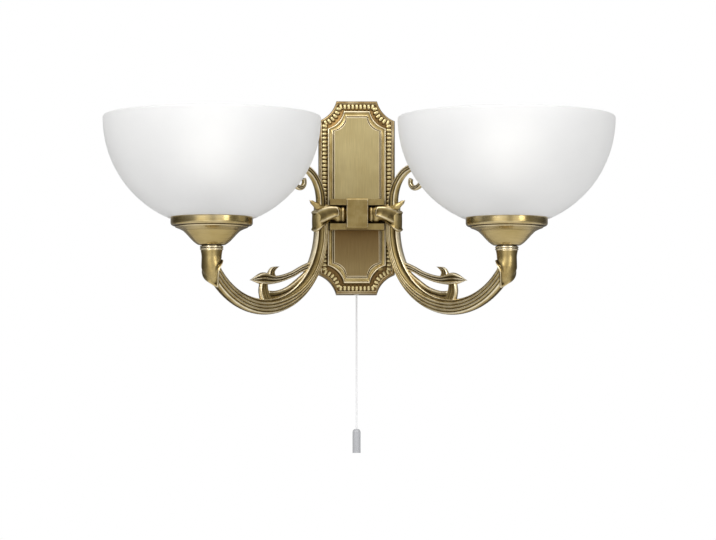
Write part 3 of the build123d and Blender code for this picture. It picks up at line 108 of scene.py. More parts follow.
def linear(colour: str) -> tuple[float, float, float, float]:
    """Turn an sRGB hex colour to linear light.

    Args:
        colour: Six hex digits after a hash.

    Returns:
        Red, green, blue and an alpha of one.
    """
    parts = [int(colour[i : i + 2], 16) / 255 for i in (1, 3, 5)]
    light = [c / 12.92 if c <= 0.04045 else ((c + 0.055) / 1.055) ** 2.4 for c in parts]
    return (light[0], light[1], light[2], 1.0)


def add_node(
    tree: bpy.types.NodeTree,
    kind: str,
    inputs: dict[str | int, object] | None = None,
    **settings: object,
) -> bpy.types.Node:
    """Add one node, set its properties and fill or link its inputs.

    Args:
        tree: The node tree.
        kind: The node's type.
        inputs: By input, a value, a socket, or a node whose first output in use is linked.
        settings: Properties of the node.

    Returns:
        The new node.
    """
    node = tree.nodes.new(kind)
    for name, value in settings.items():
        setattr(node, name, value)
    for name, value in (inputs or {}).items():
        if isinstance(value, bpy.types.Node):
            value = next(socket for socket in value.outputs if socket.enabled)
        if isinstance(value, bpy.types.NodeSocket):
            tree.links.new(value, node.inputs[name])
        else:
            node.inputs[name].default_value = value
    return node


def new_material(name: str) -> tuple[bpy.types.Material, Callable[..., bpy.types.Node]]:
    """Start a material with an empty tree, and give the call that adds nodes to it."""
    material = bpy.data.materials.new(name)
    material.use_nodes = True
    material.node_tree.nodes.clear()
    return material, partial(add_node, material.node_tree)


def link_object(name: str, data: bpy.types.ID) -> bpy.types.Object:
    """Put new data into the scene as an object at the origin."""
    made = bpy.data.objects.new(name, data)
    bpy.context.scene.collection.objects.link(made)
    return made


def keep_result(piece: bpy.types.Object) -> bpy.types.Mesh:
    """Turn what a piece's modifiers make into its own plain mesh."""
    bpy.context.view_layer.update()
    depsgraph = bpy.context.evaluated_depsgraph_get()
    made = bpy.data.meshes.new_from_object(piece.evaluated_get(depsgraph))
    piece.modifiers.clear()
    piece.data = made
    return made


def paint(mesh: bpy.types.Mesh, name: str, values: Sequence[float] | np.ndarray) -> None:
    """Store one value at each vertex."""
    mesh.attributes.new(name, "FLOAT", "POINT").data.foreach_set("value", np.ravel(values))


def as_points(x: Value, y: Value, z: Value) -> np.ndarray:
    """Join coordinates, each an array or one number for all, to points."""
    return np.stack(np.broadcast_arrays(x, y, z), axis=-1)


def there_and_back(values: np.ndarray) -> np.ndarray:
    """Repeat values for the front of a section and, in reverse, for its back."""
    return np.concatenate([values, values[::-1]])


def round_steps(count: int) -> np.ndarray:
    """Spread angles evenly over a full turn."""
    return np.linspace(0, FULL_TURN, count, endpoint=False)


def bump_at(place: float, middle: float, width: float) -> float:
    """Read a bell curve of height one."""
    return math.exp(-(((place - middle) / width) ** 2))


def arc_spot(s: float, z: float, radius: float, angle: float, way: int) -> Spot:
    """Find a place on an arc about (s, z), run anticlockwise (1) or clockwise (-1)."""
    c, d = math.cos(angle), math.sin(angle)
    return s + radius * c, z + radius * d, -way * d, way * c


def curve_through(points: Sequence[Point2], count: int) -> np.ndarray:
    """Draw a smooth plane curve through points.

    Args:
        points: The points that it passes.
        count: How many points to return.

    Returns:
        Points of the curve, evenly spread by the given points' own numbering.
    """
    given = np.array(points, float)
    ends = np.vstack([2 * given[0] - given[1], given, 2 * given[-1] - given[-2]])
    at = np.linspace(0, len(given) - 1, count)
    low = np.minimum(at.astype(int), len(given) - 2)
    t = (at - low)[:, None]
    a, b, c, d = (ends[low + k] for k in range(4))
    return 0.5 * (
        2 * b + (c - a) * t + (2 * a - 5 * b + 4 * c - d) * t**2 + (3 * b - a - 3 * c + d) * t**3
    )


def steps(values: Sequence[Point2], at: np.ndarray) -> np.ndarray:
    """Read a broken line of (place, value) pairs at many places, eased between them."""
    places, heights = np.array(values, float).T
    index = np.clip(np.searchsorted(places, at, side="right") - 1, 0, len(places) - 2)
    t = np.clip((at - places[index]) / (places[index + 1] - places[index]), 0, 1)
    t = t * t * (3 - 2 * t)
    return heights[index] * (1 - t) + heights[index + 1] * t


def ring_faces(rows: int, columns: int, looped: bool = False) -> Faces:
    """List the four-sided faces between closed rings of points.

    Args:
        rows: Number of rings.
        columns: Points in a ring.
        looped: Whether the last ring joins the first.

    Returns:
        The faces, as indices of points stored ring by ring.
    """
    return [
        (
            r * columns + c,
            r * columns + (c + 1) % columns,
            (r + 1) % rows * columns + (c + 1) % columns,
            (r + 1) % rows * columns + c,
        )
        for r in range(rows if looped else rows - 1)
        for c in range(columns)
    ]


def mesh_piece(
    name: str, points: np.ndarray, faces: Faces, painted: Painted | None = None
) -> bpy.types.Object:
    """Make a smooth closed piece from points in millimetres.

    Args:
        name: The piece's name.
        points: Its points.
        faces: Its faces.
        painted: Values to store at the points, by attribute name.

    Returns:
        The piece, at the origin, with its normals outward and its doubles merged.
    """
    mesh = bpy.data.meshes.new(name)
    mesh.from_pydata((np.asarray(points, float) * MM).tolist(), [], faces)
    for attribute, values in (painted or {}).items():
        paint(mesh, attribute, values)
    shape = bmesh.new()
    shape.from_mesh(mesh)
    bmesh.ops.remove_doubles(shape, verts=shape.verts, dist=2e-6)
    bmesh.ops.dissolve_degenerate(shape, edges=shape.edges, dist=1e-7)
    bmesh.ops.recalc_face_normals(shape, faces=shape.faces)
    for face in shape.faces:
        face.smooth = True
    shape.to_mesh(mesh)
    shape.free()
    mesh.update()
    return link_object(name, mesh)


def swept_rings(rings: Sequence[np.ndarray]) -> tuple[np.ndarray, Faces]:
    """Skin a row of closed rings and shut both ends.

    Args:
        rings: Each ring's points.

    Returns:
        The points and the faces.
    """
    count, around = len(rings), len(rings[0])
    caps = [tuple(range(around)), tuple((count - 1) * around + k for k in range(around))]
    return np.stack(rings).reshape(-1, 3), ring_faces(count, around) + caps


def lathe(name: str, profile: Sequence[Point2], centre: Point2, segments: int) -> bpy.types.Object:
    """Turn a closed profile about an upright axis.

    Args:
        name: The piece's name.
        profile: Its points (radius, z).
        centre: The axis's x and y.
        segments: Steps round the axis.

    Returns:
        The turned piece.
    """
    angle = round_steps(segments)
    radius, height = np.array(profile, float).T[:, :, None]
    rings = as_points(
        centre[0] + radius * np.cos(angle), centre[1] + radius * np.sin(angle), height
    )
    return mesh_piece(name, rings.reshape(-1, 3), ring_faces(len(profile), segments, looped=True))


def rounded_profile(points: Sequence[Point3], arc_points: int = 5) -> list[Point2]:
    """Round a closed profile's corners.

    Args:
        points: (radius, z, corner radius) of each corner, in order.
        arc_points: Points on each rounded corner.

    Returns:
        The rounded profile.
    """
    made: list[Point2] = []
    for i, (px, pz, corner) in enumerate(points):
        here = np.array((px, pz))
        back = np.array(points[i - 1][:2]) - here
        onward = np.array(points[(i + 1) % len(points)][:2]) - here
        back_length, onward_length = float(np.linalg.norm(back)), float(np.linalg.norm(onward))
        reach = min(corner, 0.48 * back_length, 0.48 * onward_length)
        if reach < 1e-3:
            made.append((px, pz))
            continue
        start = here + back / back_length * reach
        end = here + onward / onward_length * reach
        for t in (k / (arc_points - 1) for k in range(arc_points)):
            spot = (1 - t) ** 2 * start + 2 * t * (1 - t) * here + t**2 * end
            made.append((float(spot[0]), float(spot[1])))
    return made


def read_all(
    source: bpy.types.bpy_prop_collection, what: str, width: int, kind: type = float
) -> np.ndarray:
    """Read one property of every vertex or edge, a row for each."""
    values = np.zeros(len(source) * width, kind)
    source.foreach_get(what, values)
    return values.reshape(-1, width)


def paint_relief(piece: bpy.types.Object, reach: float, deep: float = 2.2) -> None:
    """Store where a casting stands out and where it is hollow, for wear and patina.

    Args:
        piece: The piece to paint.
        reach: The radius of an edge that is worn fully bright.
        deep: How much more readily a hollow darkens than an edge brightens.
    """
    mesh = piece.data
    spots = read_all(mesh.vertices, "co", 3) / MM
    normals = read_all(mesh.vertices, "normal", 3)
    one, other = read_all(mesh.edges, "vertices", 2, int).T
    both_ways = ((one, other), (other, one))
    bend, weight, total, number = (np.zeros(len(spots)) for _ in range(4))
    for a, b in both_ways:
        step = spots[b] - spots[a]
        length = np.maximum(np.einsum("ij,ij->i", step, step), 1e-3)
        share = 1 / np.sqrt(length)
        np.add.at(bend, a, -2 * np.einsum("ij,ij->i", step, normals[a]) / length * share)
        np.add.at(weight, a, share)
    bend = bend / np.maximum(weight, 1e-9)
    for a, b in both_ways:
        np.add.at(total, a, bend[b])
        np.add.at(number, a, 1)
    bend = 0.5 * bend + 0.5 * total / np.maximum(number, 1)
    paint(mesh, "wear", np.clip(bend * reach, 0, 1))
    paint(mesh, "hollow", np.clip(-bend * reach * deep, 0, 1))


def settle(
    piece: bpy.types.Object,
    material: bpy.types.Material,
    nodes: tuple[str, ...] = (),
) -> bpy.types.Object:
    """Dress a finished piece and set it on the wall plate.

    Args:
        piece: The piece.
        material: Its finish.
        nodes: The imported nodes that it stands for.

    Returns:
        The piece.
    """
    piece.data.materials.clear()
    piece.data.materials.append(material)
    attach(piece, Body.PLATE.value)
    if nodes:
        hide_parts(*nodes)
    LOG.info("%s: %d faces", piece.name, len(piece.data.polygons))
    return piece


# ------------------------------------------------------------------ finishes


@dataclass(frozen=True)
class BrassFinish:
    """Cast or turned brass, browned, rubbed back on its high places and lacquered.

    The eye sees pale worn ridges, a green-gold ground and brown-black hollows. A darker brown is
    also painted in as shade: below a set height and where the shade tone is painted.
    """

    name: str
    ground: str = "#B39F6C"
    warm: str = "#A08A58"
    worn: str = "#F3E6C6"
    patina: str = "#33240D"
    shaded_brown: str = "#6E5633"  # painted shade: the brown laid where the shade tone is full (rim, border bed) and on the panel under the block
    grain: Grain = Grain.CAST
    roughness: float = 0.33
    anisotropy: float = 0.0
    mottle_mm: float = 11.0  # patches of warmer and greener metal
    scratch_mm: float = 0.5  # drawn coarser than the real brush marks, so that they show
    shadow_below: float = -1.0  # the height, in metres, below which the whole face takes a painted shadow brown

    def build(self) -> bpy.types.Material:
        """Make the material."""
        material, node = new_material(self.name)
        place = node("ShaderNodeTexCoord").outputs["Object"]
        mottle = node(
            "ShaderNodeTexNoise",
            {"Vector": place, "Scale": 1 / (self.mottle_mm * MM), "Detail": 3.0, "Roughness": 0.55},
        )
        patches = node("ShaderNodeMapRange", {"Value": mottle, "From Min": 0.38, "From Max": 0.64})
        fine = tuple(1 / (self.scratch_mm * MM) * share for share in self.grain.value)
        marks = node(
            "ShaderNodeTexNoise",
            {
                "Vector": node("ShaderNodeMapping", {"Vector": place, "Scale": fine}),
                "Scale": 1.0,
                "Detail": 4.0,
                "Roughness": 0.6,
            },
        )
        mark_shade = node(
            "ShaderNodeMapRange",
            {"Value": marks, "From Min": 0.3, "From Max": 0.7, "To Min": 0.86, "To Max": 1.12},
        )
        hollow = node("ShaderNodeAttribute", attribute_name="hollow").outputs["Fac"]
        hollow_share = node(
            "ShaderNodeMapRange",
            {"Value": hollow, "From Min": 0.04, "From Max": 0.5, "To Max": 0.93},
            interpolation_type="SMOOTHSTEP",
        )
        wear = node("ShaderNodeAttribute", attribute_name="wear").outputs["Fac"]
        rubbed = node("ShaderNodeMath", {0: patches, 1: -0.12, 2: wear}, operation="MULTIPLY_ADD")
        wear_share = node(
            "ShaderNodeMapRange",
            {"Value": rubbed, "From Min": 0.08, "From Max": 0.6, "To Max": 0.9},
            interpolation_type="SMOOTHSTEP",
        )
        layers = (
            (patches, self.warm),
            # painted shade: the shadow under the block and the shade tone, laid on as a darker
            # brown
            (self.painted_shade_share(node, place), self.shaded_brown),
            (hollow_share, self.patina),
            (wear_share, self.worn),
        )
        colour: object = linear(self.ground)
        for share, shade in layers:
            if share is hollow_share:  # the marks shade the bare metal, under patina and wear
                colour = node(
                    "ShaderNodeVectorMath", {0: colour, "Scale": mark_shade}, operation="SCALE"
                )
            colour = node(
                "ShaderNodeMix",
                {FACTOR: share, COLOUR_A: colour, COLOUR_B: linear(shade)},
                data_type="RGBA",
            )
        dullness = node(
            "ShaderNodeMapRange",
            {"Value": hollow_share, "To Min": self.roughness, "To Max": self.roughness + 0.25},
        )
        bump = node("ShaderNodeBump", {"Height": marks, "Strength": 0.12, "Distance": 0.0002})
        metal: dict[str | int, object] = {
            "Base Color": colour,
            "Metallic": 1.0,
            "Roughness": dullness,
            "Normal": bump,
            "Anisotropic": self.anisotropy,
        }
        if self.anisotropy > 0:
            normal = node("ShaderNodeNewGeometry").outputs["Normal"]
            metal["Tangent"] = node(
                "ShaderNodeVectorMath", {0: (0.0, 0.0, 1.0), 1: normal}, operation="CROSS_PRODUCT"
            )
            metal["Anisotropic Rotation"] = 0.25
        shader = node("ShaderNodeBsdfPrincipled", metal)
        node("ShaderNodeOutputMaterial", {"Surface": shader})
        return material

    def painted_shade_share(
        self, node: Callable[..., bpy.types.Node], place: bpy.types.NodeSocket
    ) -> bpy.types.Node:
        """Add up the painted shade: the painted shade tone, and the painted shadow on the face
        below a height.

        Args:
            node: Adds a node to the material.
            place: The object coordinates.

        Returns:
            The node that gives the share of painted shade.
        """
        height = node("ShaderNodeSeparateXYZ", {"Vector": place}).outputs["Z"]
        below = node("ShaderNodeMath", {0: height, 1: self.shadow_below}, operation="LESS_THAN")
        # painted shadow: deepest right under the block, lighter again towards the foot of the panel
        deepest = node(
            "ShaderNodeMapRange",
            {
                "Value": height,
                "From Min": self.shadow_below - 0.036,
                "From Max": self.shadow_below - 0.006,
                "To Min": 0.66,
                "To Max": 1.0,
            },
        )
        # the painted shade tone that the plate carries
        tone = node("ShaderNodeAttribute", attribute_name="tone").outputs["Fac"]
        return node("ShaderNodeMath", {0: below, 1: deepest, 2: tone}, operation="MULTIPLY_ADD")


@dataclass(frozen=True)
class PlainFinish:
    """A moulded, drawn or plated surface with a slight mottle and fine texture."""

    name: str
    colour: str
    shade: str
    roughness: float = 0.4
    metallic: float = 0.0
    grain_mm: float = 0.6
    relief: float = 0.1
    glow: float = 0.0
    glow_colour: str = "#FFFCF7"

    def build(self) -> bpy.types.Material:
        """Make the material."""
        material, node = new_material(self.name)
        place = node("ShaderNodeTexCoord").outputs["Object"]
        grain = node(
            "ShaderNodeTexNoise",
            {"Vector": place, "Scale": 1 / (self.grain_mm * MM), "Detail": 3.0},
        )
        colour = node(
            "ShaderNodeMix",
            {FACTOR: grain, COLOUR_A: linear(self.colour), COLOUR_B: linear(self.shade)},
            data_type="RGBA",
        )
        bump = node(
            "ShaderNodeBump", {"Height": grain, "Strength": self.relief, "Distance": 0.0001}
        )
        skin: dict[str | int, object] = {
            "Base Color": colour,
            "Metallic": self.metallic,
            "Roughness": self.roughness,
            "Normal": bump,
        }
        if self.glow > 0:
            skin["Emission Color"] = linear(self.glow_colour)
            skin["Emission Strength"] = self.glow
        shader = node("ShaderNodeBsdfPrincipled", skin)
        node("ShaderNodeOutputMaterial", {"Surface": shader})
        return material


@dataclass(frozen=True)
class OpalFinish:
    """Satin opal glass: white, matt outside, and it lets a soft glow through.

    The eye sees an even milky white, a little brighter in front of the lamp.
    """

    name: str = "satin_opal_glass"
    white: str = "#F7F7F6"
    cloud: str = "#F1F1F1"
    roughness: float = 0.42
    cloud_mm: float = 26.0
    frost_mm: float = 0.35
    glow_through: float = 0.22
    straight_through: float = 0.3  # the share that still shows the bulb as a soft spot
    haze: float = 0.7  # roughness of that share

    def build(self) -> bpy.types.Material:
        """Make the material."""
        material, node = new_material(self.name)
        place = node("ShaderNodeTexCoord").outputs["Object"]
        cloud, frost = (
            node("ShaderNodeTexNoise", {"Vector": place, "Scale": 1 / (size * MM), "Detail": 2.0})
            for size in (self.cloud_mm, self.frost_mm)
        )
        colour = node(
            "ShaderNodeMix",
            {FACTOR: cloud, COLOUR_A: linear(self.white), COLOUR_B: linear(self.cloud)},
            data_type="RGBA",
        )
        bump = node("ShaderNodeBump", {"Height": frost, "Strength": 0.05, "Distance": 0.00005})
        skin = node(
            "ShaderNodeBsdfPrincipled",
            {
                "Base Color": colour,
                "Roughness": self.roughness,
                "IOR": 1.5,
                "Specular IOR Level": 0.35,
                "Normal": bump,
            },
        )
        through = node("ShaderNodeBsdfTranslucent", {"Color": colour})
        both = node("ShaderNodeMixShader", {0: self.glow_through, 1: skin, 2: through})
        haze = node(
            "ShaderNodeBsdfRefraction",
            {"Color": (1.0, 1.0, 1.0, 1.0), "Roughness": self.haze, "IOR": 1.3},
        )
        glass = node("ShaderNodeMixShader", {0: self.straight_through, 1: both, 2: haze})
        node("ShaderNodeOutputMaterial", {"Surface": glass})
        return material


PLAIN_FINISHES: dict[Slot, PlainFinish] = {
    # bluish bright zinc over drawn steel, broadly clouded
    Slot.ZINC_STEEL: PlainFinish("zinc_plated_steel", "#B4B7BA", "#9DA1A6", 0.36, 1.0, 4.0),
    # hard drawn wire, darker and glossier than the zinc
    Slot.SPRING_STEEL: PlainFinish("spring_steel", "#8F9092", "#7C7E82", 0.3, 1.0, 1.5),
    # moulded with a faint texture: soft gloss, no sparkle
    Slot.WHITE_PLASTIC: PlainFinish(
        "moulded_white_plastic", "#EDEDEA", "#E4E4E0", 0.38, grain_mm=0.8
    ),
    Slot.BLACK_PLASTIC: PlainFinish(
        "moulded_black_plastic", "#1C1C1D", "#252526", 0.45, grain_mm=0.8
    ),
    # extruded soft sheath, a dull warm white
    Slot.LEAD_SHEATH: PlainFinish("pvc_lead_sheath", "#EFEFEC", "#E2E2DE", 0.42, grain_mm=1.2),
    # plaited yarn: matt, broken up by its strands
    Slot.CORD: PlainFinish(
        "plaited_nylon_cord", "#F1F1F1", "#DFDFE0", 0.7, grain_mm=0.5, relief=0.4
    ),
    # glossy milky plastic that reads grey against the white ground
    Slot.BELL: PlainFinish(
        "milky_moulded_bell", "#B6B7BA", "#ABACAF", 0.22, grain_mm=9.0, relief=0.02
    ),
    # etched inside: an even glow without an edge
    Slot.BULB_GLASS: PlainFinish(
        "frosted_bulb_glass", "#FBFAF6", "#F4F2EC", 0.5, grain_mm=0.7, glow=1.5
    ),
    # rolled and plated, a warm grey shine
    Slot.BULB_CAP: PlainFinish("nickel_bulb_cap", "#B9B6AE", "#A5A198", 0.32, 1.0, 2.0),
}


class Finishes:
    """Every finish of the lamp, made once."""

    def __init__(self) -> None:
        """Make the finishes."""
        self.cast = BrassFinish("antique_cast_brass").build()
        # fine upright brush lines on an even face, with a painted shadow under the block
        self.panel = BrassFinish(
            "antique_brushed_brass",
            grain=Grain.BRUSHED_UP,
            ground="#B6A678",
            warm="#AD9C6D",
            roughness=0.38,
            mottle_mm=30.0,
            shadow_below=-0.022,
        ).build()
        # the lathe's marks draw the lights out into upright streaks
        self.turned = BrassFinish(
            "antique_turned_brass",
            grain=Grain.TURNED,
            ground="#BFAA77",
            warm="#B09A63",
            roughness=0.24,
            anisotropy=0.7,
            mottle_mm=26.0,
        ).build()
        # the same brushing in small darker patches
        self.block = BrassFinish(
            "antique_block_brass",
            grain=Grain.BRUSHED_UP,
            ground="#A08C5C",
            warm="#8F7A4B",
            mottle_mm=7.0,
        ).build()
        # less rubbed than the castings: duller tops, brown between the bars
        self.bars = BrassFinish(
            "antique_border_brass", "#97804C", "#8A7142", "#D8C896", "#3E2E12"
        ).build()
        # bright yellow turned brass without patina
        small_brass = BrassFinish("lacquered_brass", "#B79A55", "#A98B48", roughness=0.28)
        self.opal = OpalFinish().build()
        self.by_slot = {slot: finish.build() for slot, finish in PLAIN_FINISHES.items()}
        self.by_slot[Slot.BRASS] = self.cast
        self.by_slot[Slot.SMALL_BRASS] = small_brass.build()
        self.by_slot[Slot.OPAL_GLASS] = self.opal


# ------------------------------------------------------------------ backplate


@dataclass(frozen=True)
class Outline:
    """A long outline with straight sides, short ends and scooped slanting corners."""

    half_width: float
    half_height: float
    end_half_width: float
    corner_height: float
    scoop: float = 2.7
    side_points: int = 14
    scoop_points: int = 19
    end_points: int = 7

    def drawn(self, inset: float) -> np.ndarray:
        """Draw the outline.

        Args:
            inset: How far it is drawn in.

        Returns:
            Points (x, z), the same number for any outline, anticlockwise from the right side.
        """
        half, high = self.half_width - inset, self.half_height - inset
        end, corner = self.end_half_width - 0.4 * inset, self.corner_height - 0.4 * inset
        start, stop = np.array((half, corner)), np.array((end, high))
        chord = stop - start
        length = float(np.linalg.norm(chord))
        inward = np.array((-chord[1], chord[0])) / length
        inward = -inward if inward @ start > 0 else inward
        radius = length**2 / (8 * self.scoop) + self.scoop / 2
        sweep = math.asin(length / 2 / radius)
        scooped = []
        for k in range(self.scoop_points):
            angle = sweep * (2 * k / (self.scoop_points - 1) - 1)
            along = (math.sin(angle) * radius + length / 2) / length
            deep = math.cos(angle) * radius - (radius - self.scoop)
            scooped.append(start + chord * along + inward * deep)
        side = [(half, corner * k / self.side_points) for k in range(self.side_points)]
        top = [(end * (1 - k / self.end_points), high) for k in range(1, self.end_points)]
        ring = np.vstack([side, scooped, top])
        back = ring[::-1][:-1]
        left = [[[0, high]], back * (-1, 1), ring * (-1, -1)]
        return np.vstack([ring, *left, [[0, -high]], back * (1, -1)])


@dataclass
class Backplate:
    """The stepped plate: rim, bar border, moulded frame and brushed panel."""

    plate: Outline = Outline(31.2, 79.0, 16.6, 62.7)
    frame: Outline = Outline(24.0, 70.5, 10.6, 56.0)
    wall: float = 1.8
    rim_depth: float = 18.0
    panel_depth: float = 24.0
    panel_wall: float = 1.6
    bar_inset: float = 5.1
    bar_sink: float = 0.55
    bar_pitch: float = 3.25
    bar_length: float = 3.9
    bar_width: float = 2.1
    bar_rise: float = 1.15
    wire_hole: Point2 = (4.0, -15.0)  # radius and height
    post_xs: Point2 = (-11.75, 18.75)
    post_z: float = -57.0
    # (radius, depth) of each post, front to back
    post: tuple[Point2, ...] = ((3.1, 23.0), (3.1, 22.2), (2.8, 21.8), (2.8, 16.2), (2.6, 16.0))
    # (inset from the plate's outline, depth): side, rounded rim, step down to the border's bed
    side: tuple[Point2, ...] = (
        (0.0, 4.0), (0.0, 8.0), (0.0, 12.0), (0.0, 15.5), (0.05, 16.6), (0.25, 17.3),
        (0.7, 17.8), (1.2, 18.0), (1.9, 18.05), (2.5, 17.95), (2.85, 17.7), (3.0, 17.4),
        (3.3, 17.2), (4.6, 17.2),
    )  # fmt: skip
    # (inset from the frame's outline, depth): bead, cove, fine bead, groove, panel
    moulding: tuple[Point2, ...] = (
        (-0.5, 17.2), (-0.1, 17.5), (0.0, 18.2), (0.0, 19.6), (0.05, 21.0), (0.1, 22.2),
        (0.3, 23.1), (0.65, 23.75), (1.05, 23.95), (1.4, 23.8), (1.7, 23.4), (2.2, 23.05),
        (2.9, 22.95), (3.6, 23.1), (4.15, 23.5), (4.4, 23.75), (4.6, 23.7), (4.75, 23.2),
        (5.0, 22.95), (5.3, 23.0), (5.5, 23.4), (5.62, 23.85), (5.8, 23.98), (6.1, 24.0),
        (7.4, 24.0),
    )  # fmt: skip
    # painted shade: how dark the shade tone is, up to each depth: rim, border bed, rim's crest,
    # frame's side
    shade_tones: tuple[Point2, ...] = ((17.0, 0.45), (17.35, 1.0), (18.1, 0.75), (21.5, 0.55))

    def shell(self, finishes: Finishes) -> None:
        """Build the hollow plate with its rim, bed, frame moulding, groove and panel."""
        wall, rim = self.wall, self.rim_depth
        back = self.panel_depth - self.panel_wall
        inside = ((wall + 0.6, back), (wall, back - 0.4), (wall, rim - wall + 0.2))
        behind = ((wall + 0.6, rim - wall), (wall, rim - wall - 0.6), (wall, 0.3))
        foot = ((wall - 0.3, 0.0), (0.3, 0.0), (0.0, 0.3))
        parts = (
            (self.frame, inside),
            (self.plate, behind + foot + self.side),
            (self.frame, self.moulding),
        )
        loops = []
        for outline, levels in parts:
            for inset, depth in levels:
                flat = outline.drawn(inset)
                loops.append(as_points(flat[:, 0], -depth, flat[:, 1]))
        plate = mesh_piece("backplate_shell", *swept_rings(loops))
        paint_relief(plate, 0.55, 0.45)
        # paint the shade tone: painted shade on the rim, the border's bed and the frame's side
        depths = [-vertex.co.y / MM for vertex in plate.data.vertices]
        shade_tones = [next((tone for end, tone in self.shade_tones if depth < end), 0.0) for depth in depths]
        paint(plate.data, "tone", shade_tones)
        self.open_wire_hole(plate)
        settle(plate, finishes.cast, ("backplate",))
        plate.data.materials.append(finishes.panel)
        for face in plate.data.polygons:
            if -face.center.y / MM > self.panel_depth - 0.02:
                face.material_index = 1
                face.use_smooth = False

    def open_wire_hole(self, plate: bpy.types.Object) -> None:
        """Cut the hole that the leads pass, behind the saddle."""
        radius, height = self.wire_hole
        shape = bmesh.new()
        place = Matrix.Translation(Vector((0, -23.0 * MM, height * MM)))
        bmesh.ops.create_cone(
            shape,
            cap_ends=True,
            segments=32,
            radius1=radius * MM,
            radius2=radius * MM,
            depth=6.0 * MM,
            matrix=place @ Matrix.Rotation(math.pi / 2, 4, "X"),
        )
        cutter = bpy.data.meshes.new("wire_hole")
        shape.to_mesh(cutter)
        shape.free()
        cut = plate.modifiers.new("wire_hole", "BOOLEAN")
        cut.operation = "DIFFERENCE"
        cut.object = link_object("wire_hole", cutter)
        cut.solver = "EXACT"
        tool = cut.object
        keep_result(plate)
        bpy.data.objects.remove(tool)

    def bar_nodes(self, sizes: Sequence[str], material: bpy.types.Material) -> bpy.types.NodeTree:
        """Make the Geometry Nodes tree that sets rounded bars along a line.

        Args:
            sizes: Names of the tree's numbers: pitch, and half the bar's width, length and rise.
            material: The bars' finish.

        Returns:
            The tree.
        """
        tree = bpy.data.node_groups.new("bars_round_the_plate", "GeometryNodeTree")
        tree.interface.new_socket("Geometry", in_out="INPUT", socket_type="NodeSocketGeometry")
        for name in sizes:
            tree.interface.new_socket(name, in_out="INPUT", socket_type="NodeSocketFloat")
        tree.interface.new_socket("Geometry", in_out="OUTPUT", socket_type="NodeSocketGeometry")
        node = partial(add_node, tree)
        source = node("NodeGroupInput").outputs
        line = node("GeometryNodeMeshToCurve", {"Mesh": source["Geometry"]})
        spots = node(
            "GeometryNodeCurveToPoints", {"Curve": line, "Length": source["Pitch"]}, mode="LENGTH"
        ).outputs
        along = node(
            "FunctionNodeAlignRotationToVector", {"Vector": spots["Tangent"]}, axis="X"
        )
        outward = node(
            "FunctionNodeAlignRotationToVector",
            {"Rotation": along, "Vector": (0.0, -1.0, 0.0)},
            axis="Z",
            pivot_axis="X",
        )
        # larger than the bar's 2 x 2 x 2, because the subdivision draws it in
        block = node("GeometryNodeMeshCube", {"Size": (2.2, 2.2, 2.2)})
        bar = node(
            "GeometryNodeSubdivisionSurface", {"Mesh": block, "Level": 2, "Edge Crease": 0.35}
        )
        scale = node("ShaderNodeCombineXYZ", {k: source[s] for k, s in zip("XYZ", sizes[1:])})
        placed = node(
            "GeometryNodeInstanceOnPoints",
            {"Points": spots["Points"], "Instance": bar, "Rotation": outward, "Scale": scale},
        )
        real = node("GeometryNodeRealizeInstances", {"Geometry": placed})
        smooth = node("GeometryNodeSetShadeSmooth", {"Geometry": real})
        dressed = node("GeometryNodeSetMaterial", {"Geometry": smooth, "Material": material})
        node("NodeGroupOutput", {"Geometry": dressed})
        return tree

    def border(self, finishes: Finishes) -> None:
        """Set the rounded bars round the border with Geometry Nodes."""
        base = self.rim_depth - self.bar_sink
        flat = self.plate.drawn(self.bar_inset)
        points = as_points(flat[:, 0], -base, flat[:, 1]) * MM
        line = bpy.data.meshes.new("border_line")
        count = len(points)
        line.from_pydata(points.tolist(), [(k, (k + 1) % count) for k in range(count)], [])
        bars = link_object("border_bars", line)
        sizes = {
            "Pitch": self.bar_pitch * MM,
            "Bar Width": self.bar_width * MM / 2,
            "Bar Length": self.bar_length * MM / 2,
            "Bar Rise": self.bar_rise * MM,
        }
        modifier = bars.modifiers.new("bars", "NODES")
        modifier.node_group = self.bar_nodes(list(sizes), finishes.bars)
        for item in modifier.node_group.interface.items_tree:
            if item.in_out == "INPUT" and item.name in sizes:
                modifier[item.identifier] = sizes[item.name]
        made = keep_result(bars)
        rise = np.array([(-vertex.co.y / MM - base) / self.bar_rise for vertex in made.vertices])
        paint(made, "wear", np.clip(1.5 * rise - 0.35, 0.0, 0.8))
        paint(made, "hollow", np.clip(0.45 - 1.4 * rise, 0.0, 1.0))
        settle(bars, finishes.bars)

    def posts(self, finishes: Finishes) -> None:
        """Build the two cast posts behind the plate that carry the switch."""
        angle = round_steps(28)
        faces: Faces = []
        points = np.zeros((0, 3))
        for x in self.post_xs:
            spots, skin = swept_rings(
                [
                    as_points(x + r * np.cos(angle), -depth, self.post_z + r * np.sin(angle))
                    for r, depth in self.post
                ]
            )
            faces += [tuple(i + len(points) for i in face) for face in skin]
            points = np.vstack([points, spots])
        settle(mesh_piece("switch_posts", points, faces), finishes.cast, ("backplate",))

    def build(self, finishes: Finishes) -> None:
        """Build the plate's pieces."""
        self.shell(finishes)
        self.border(finishes)
        self.posts(finishes)


# ------------------------------------------------------------------ saddle and block


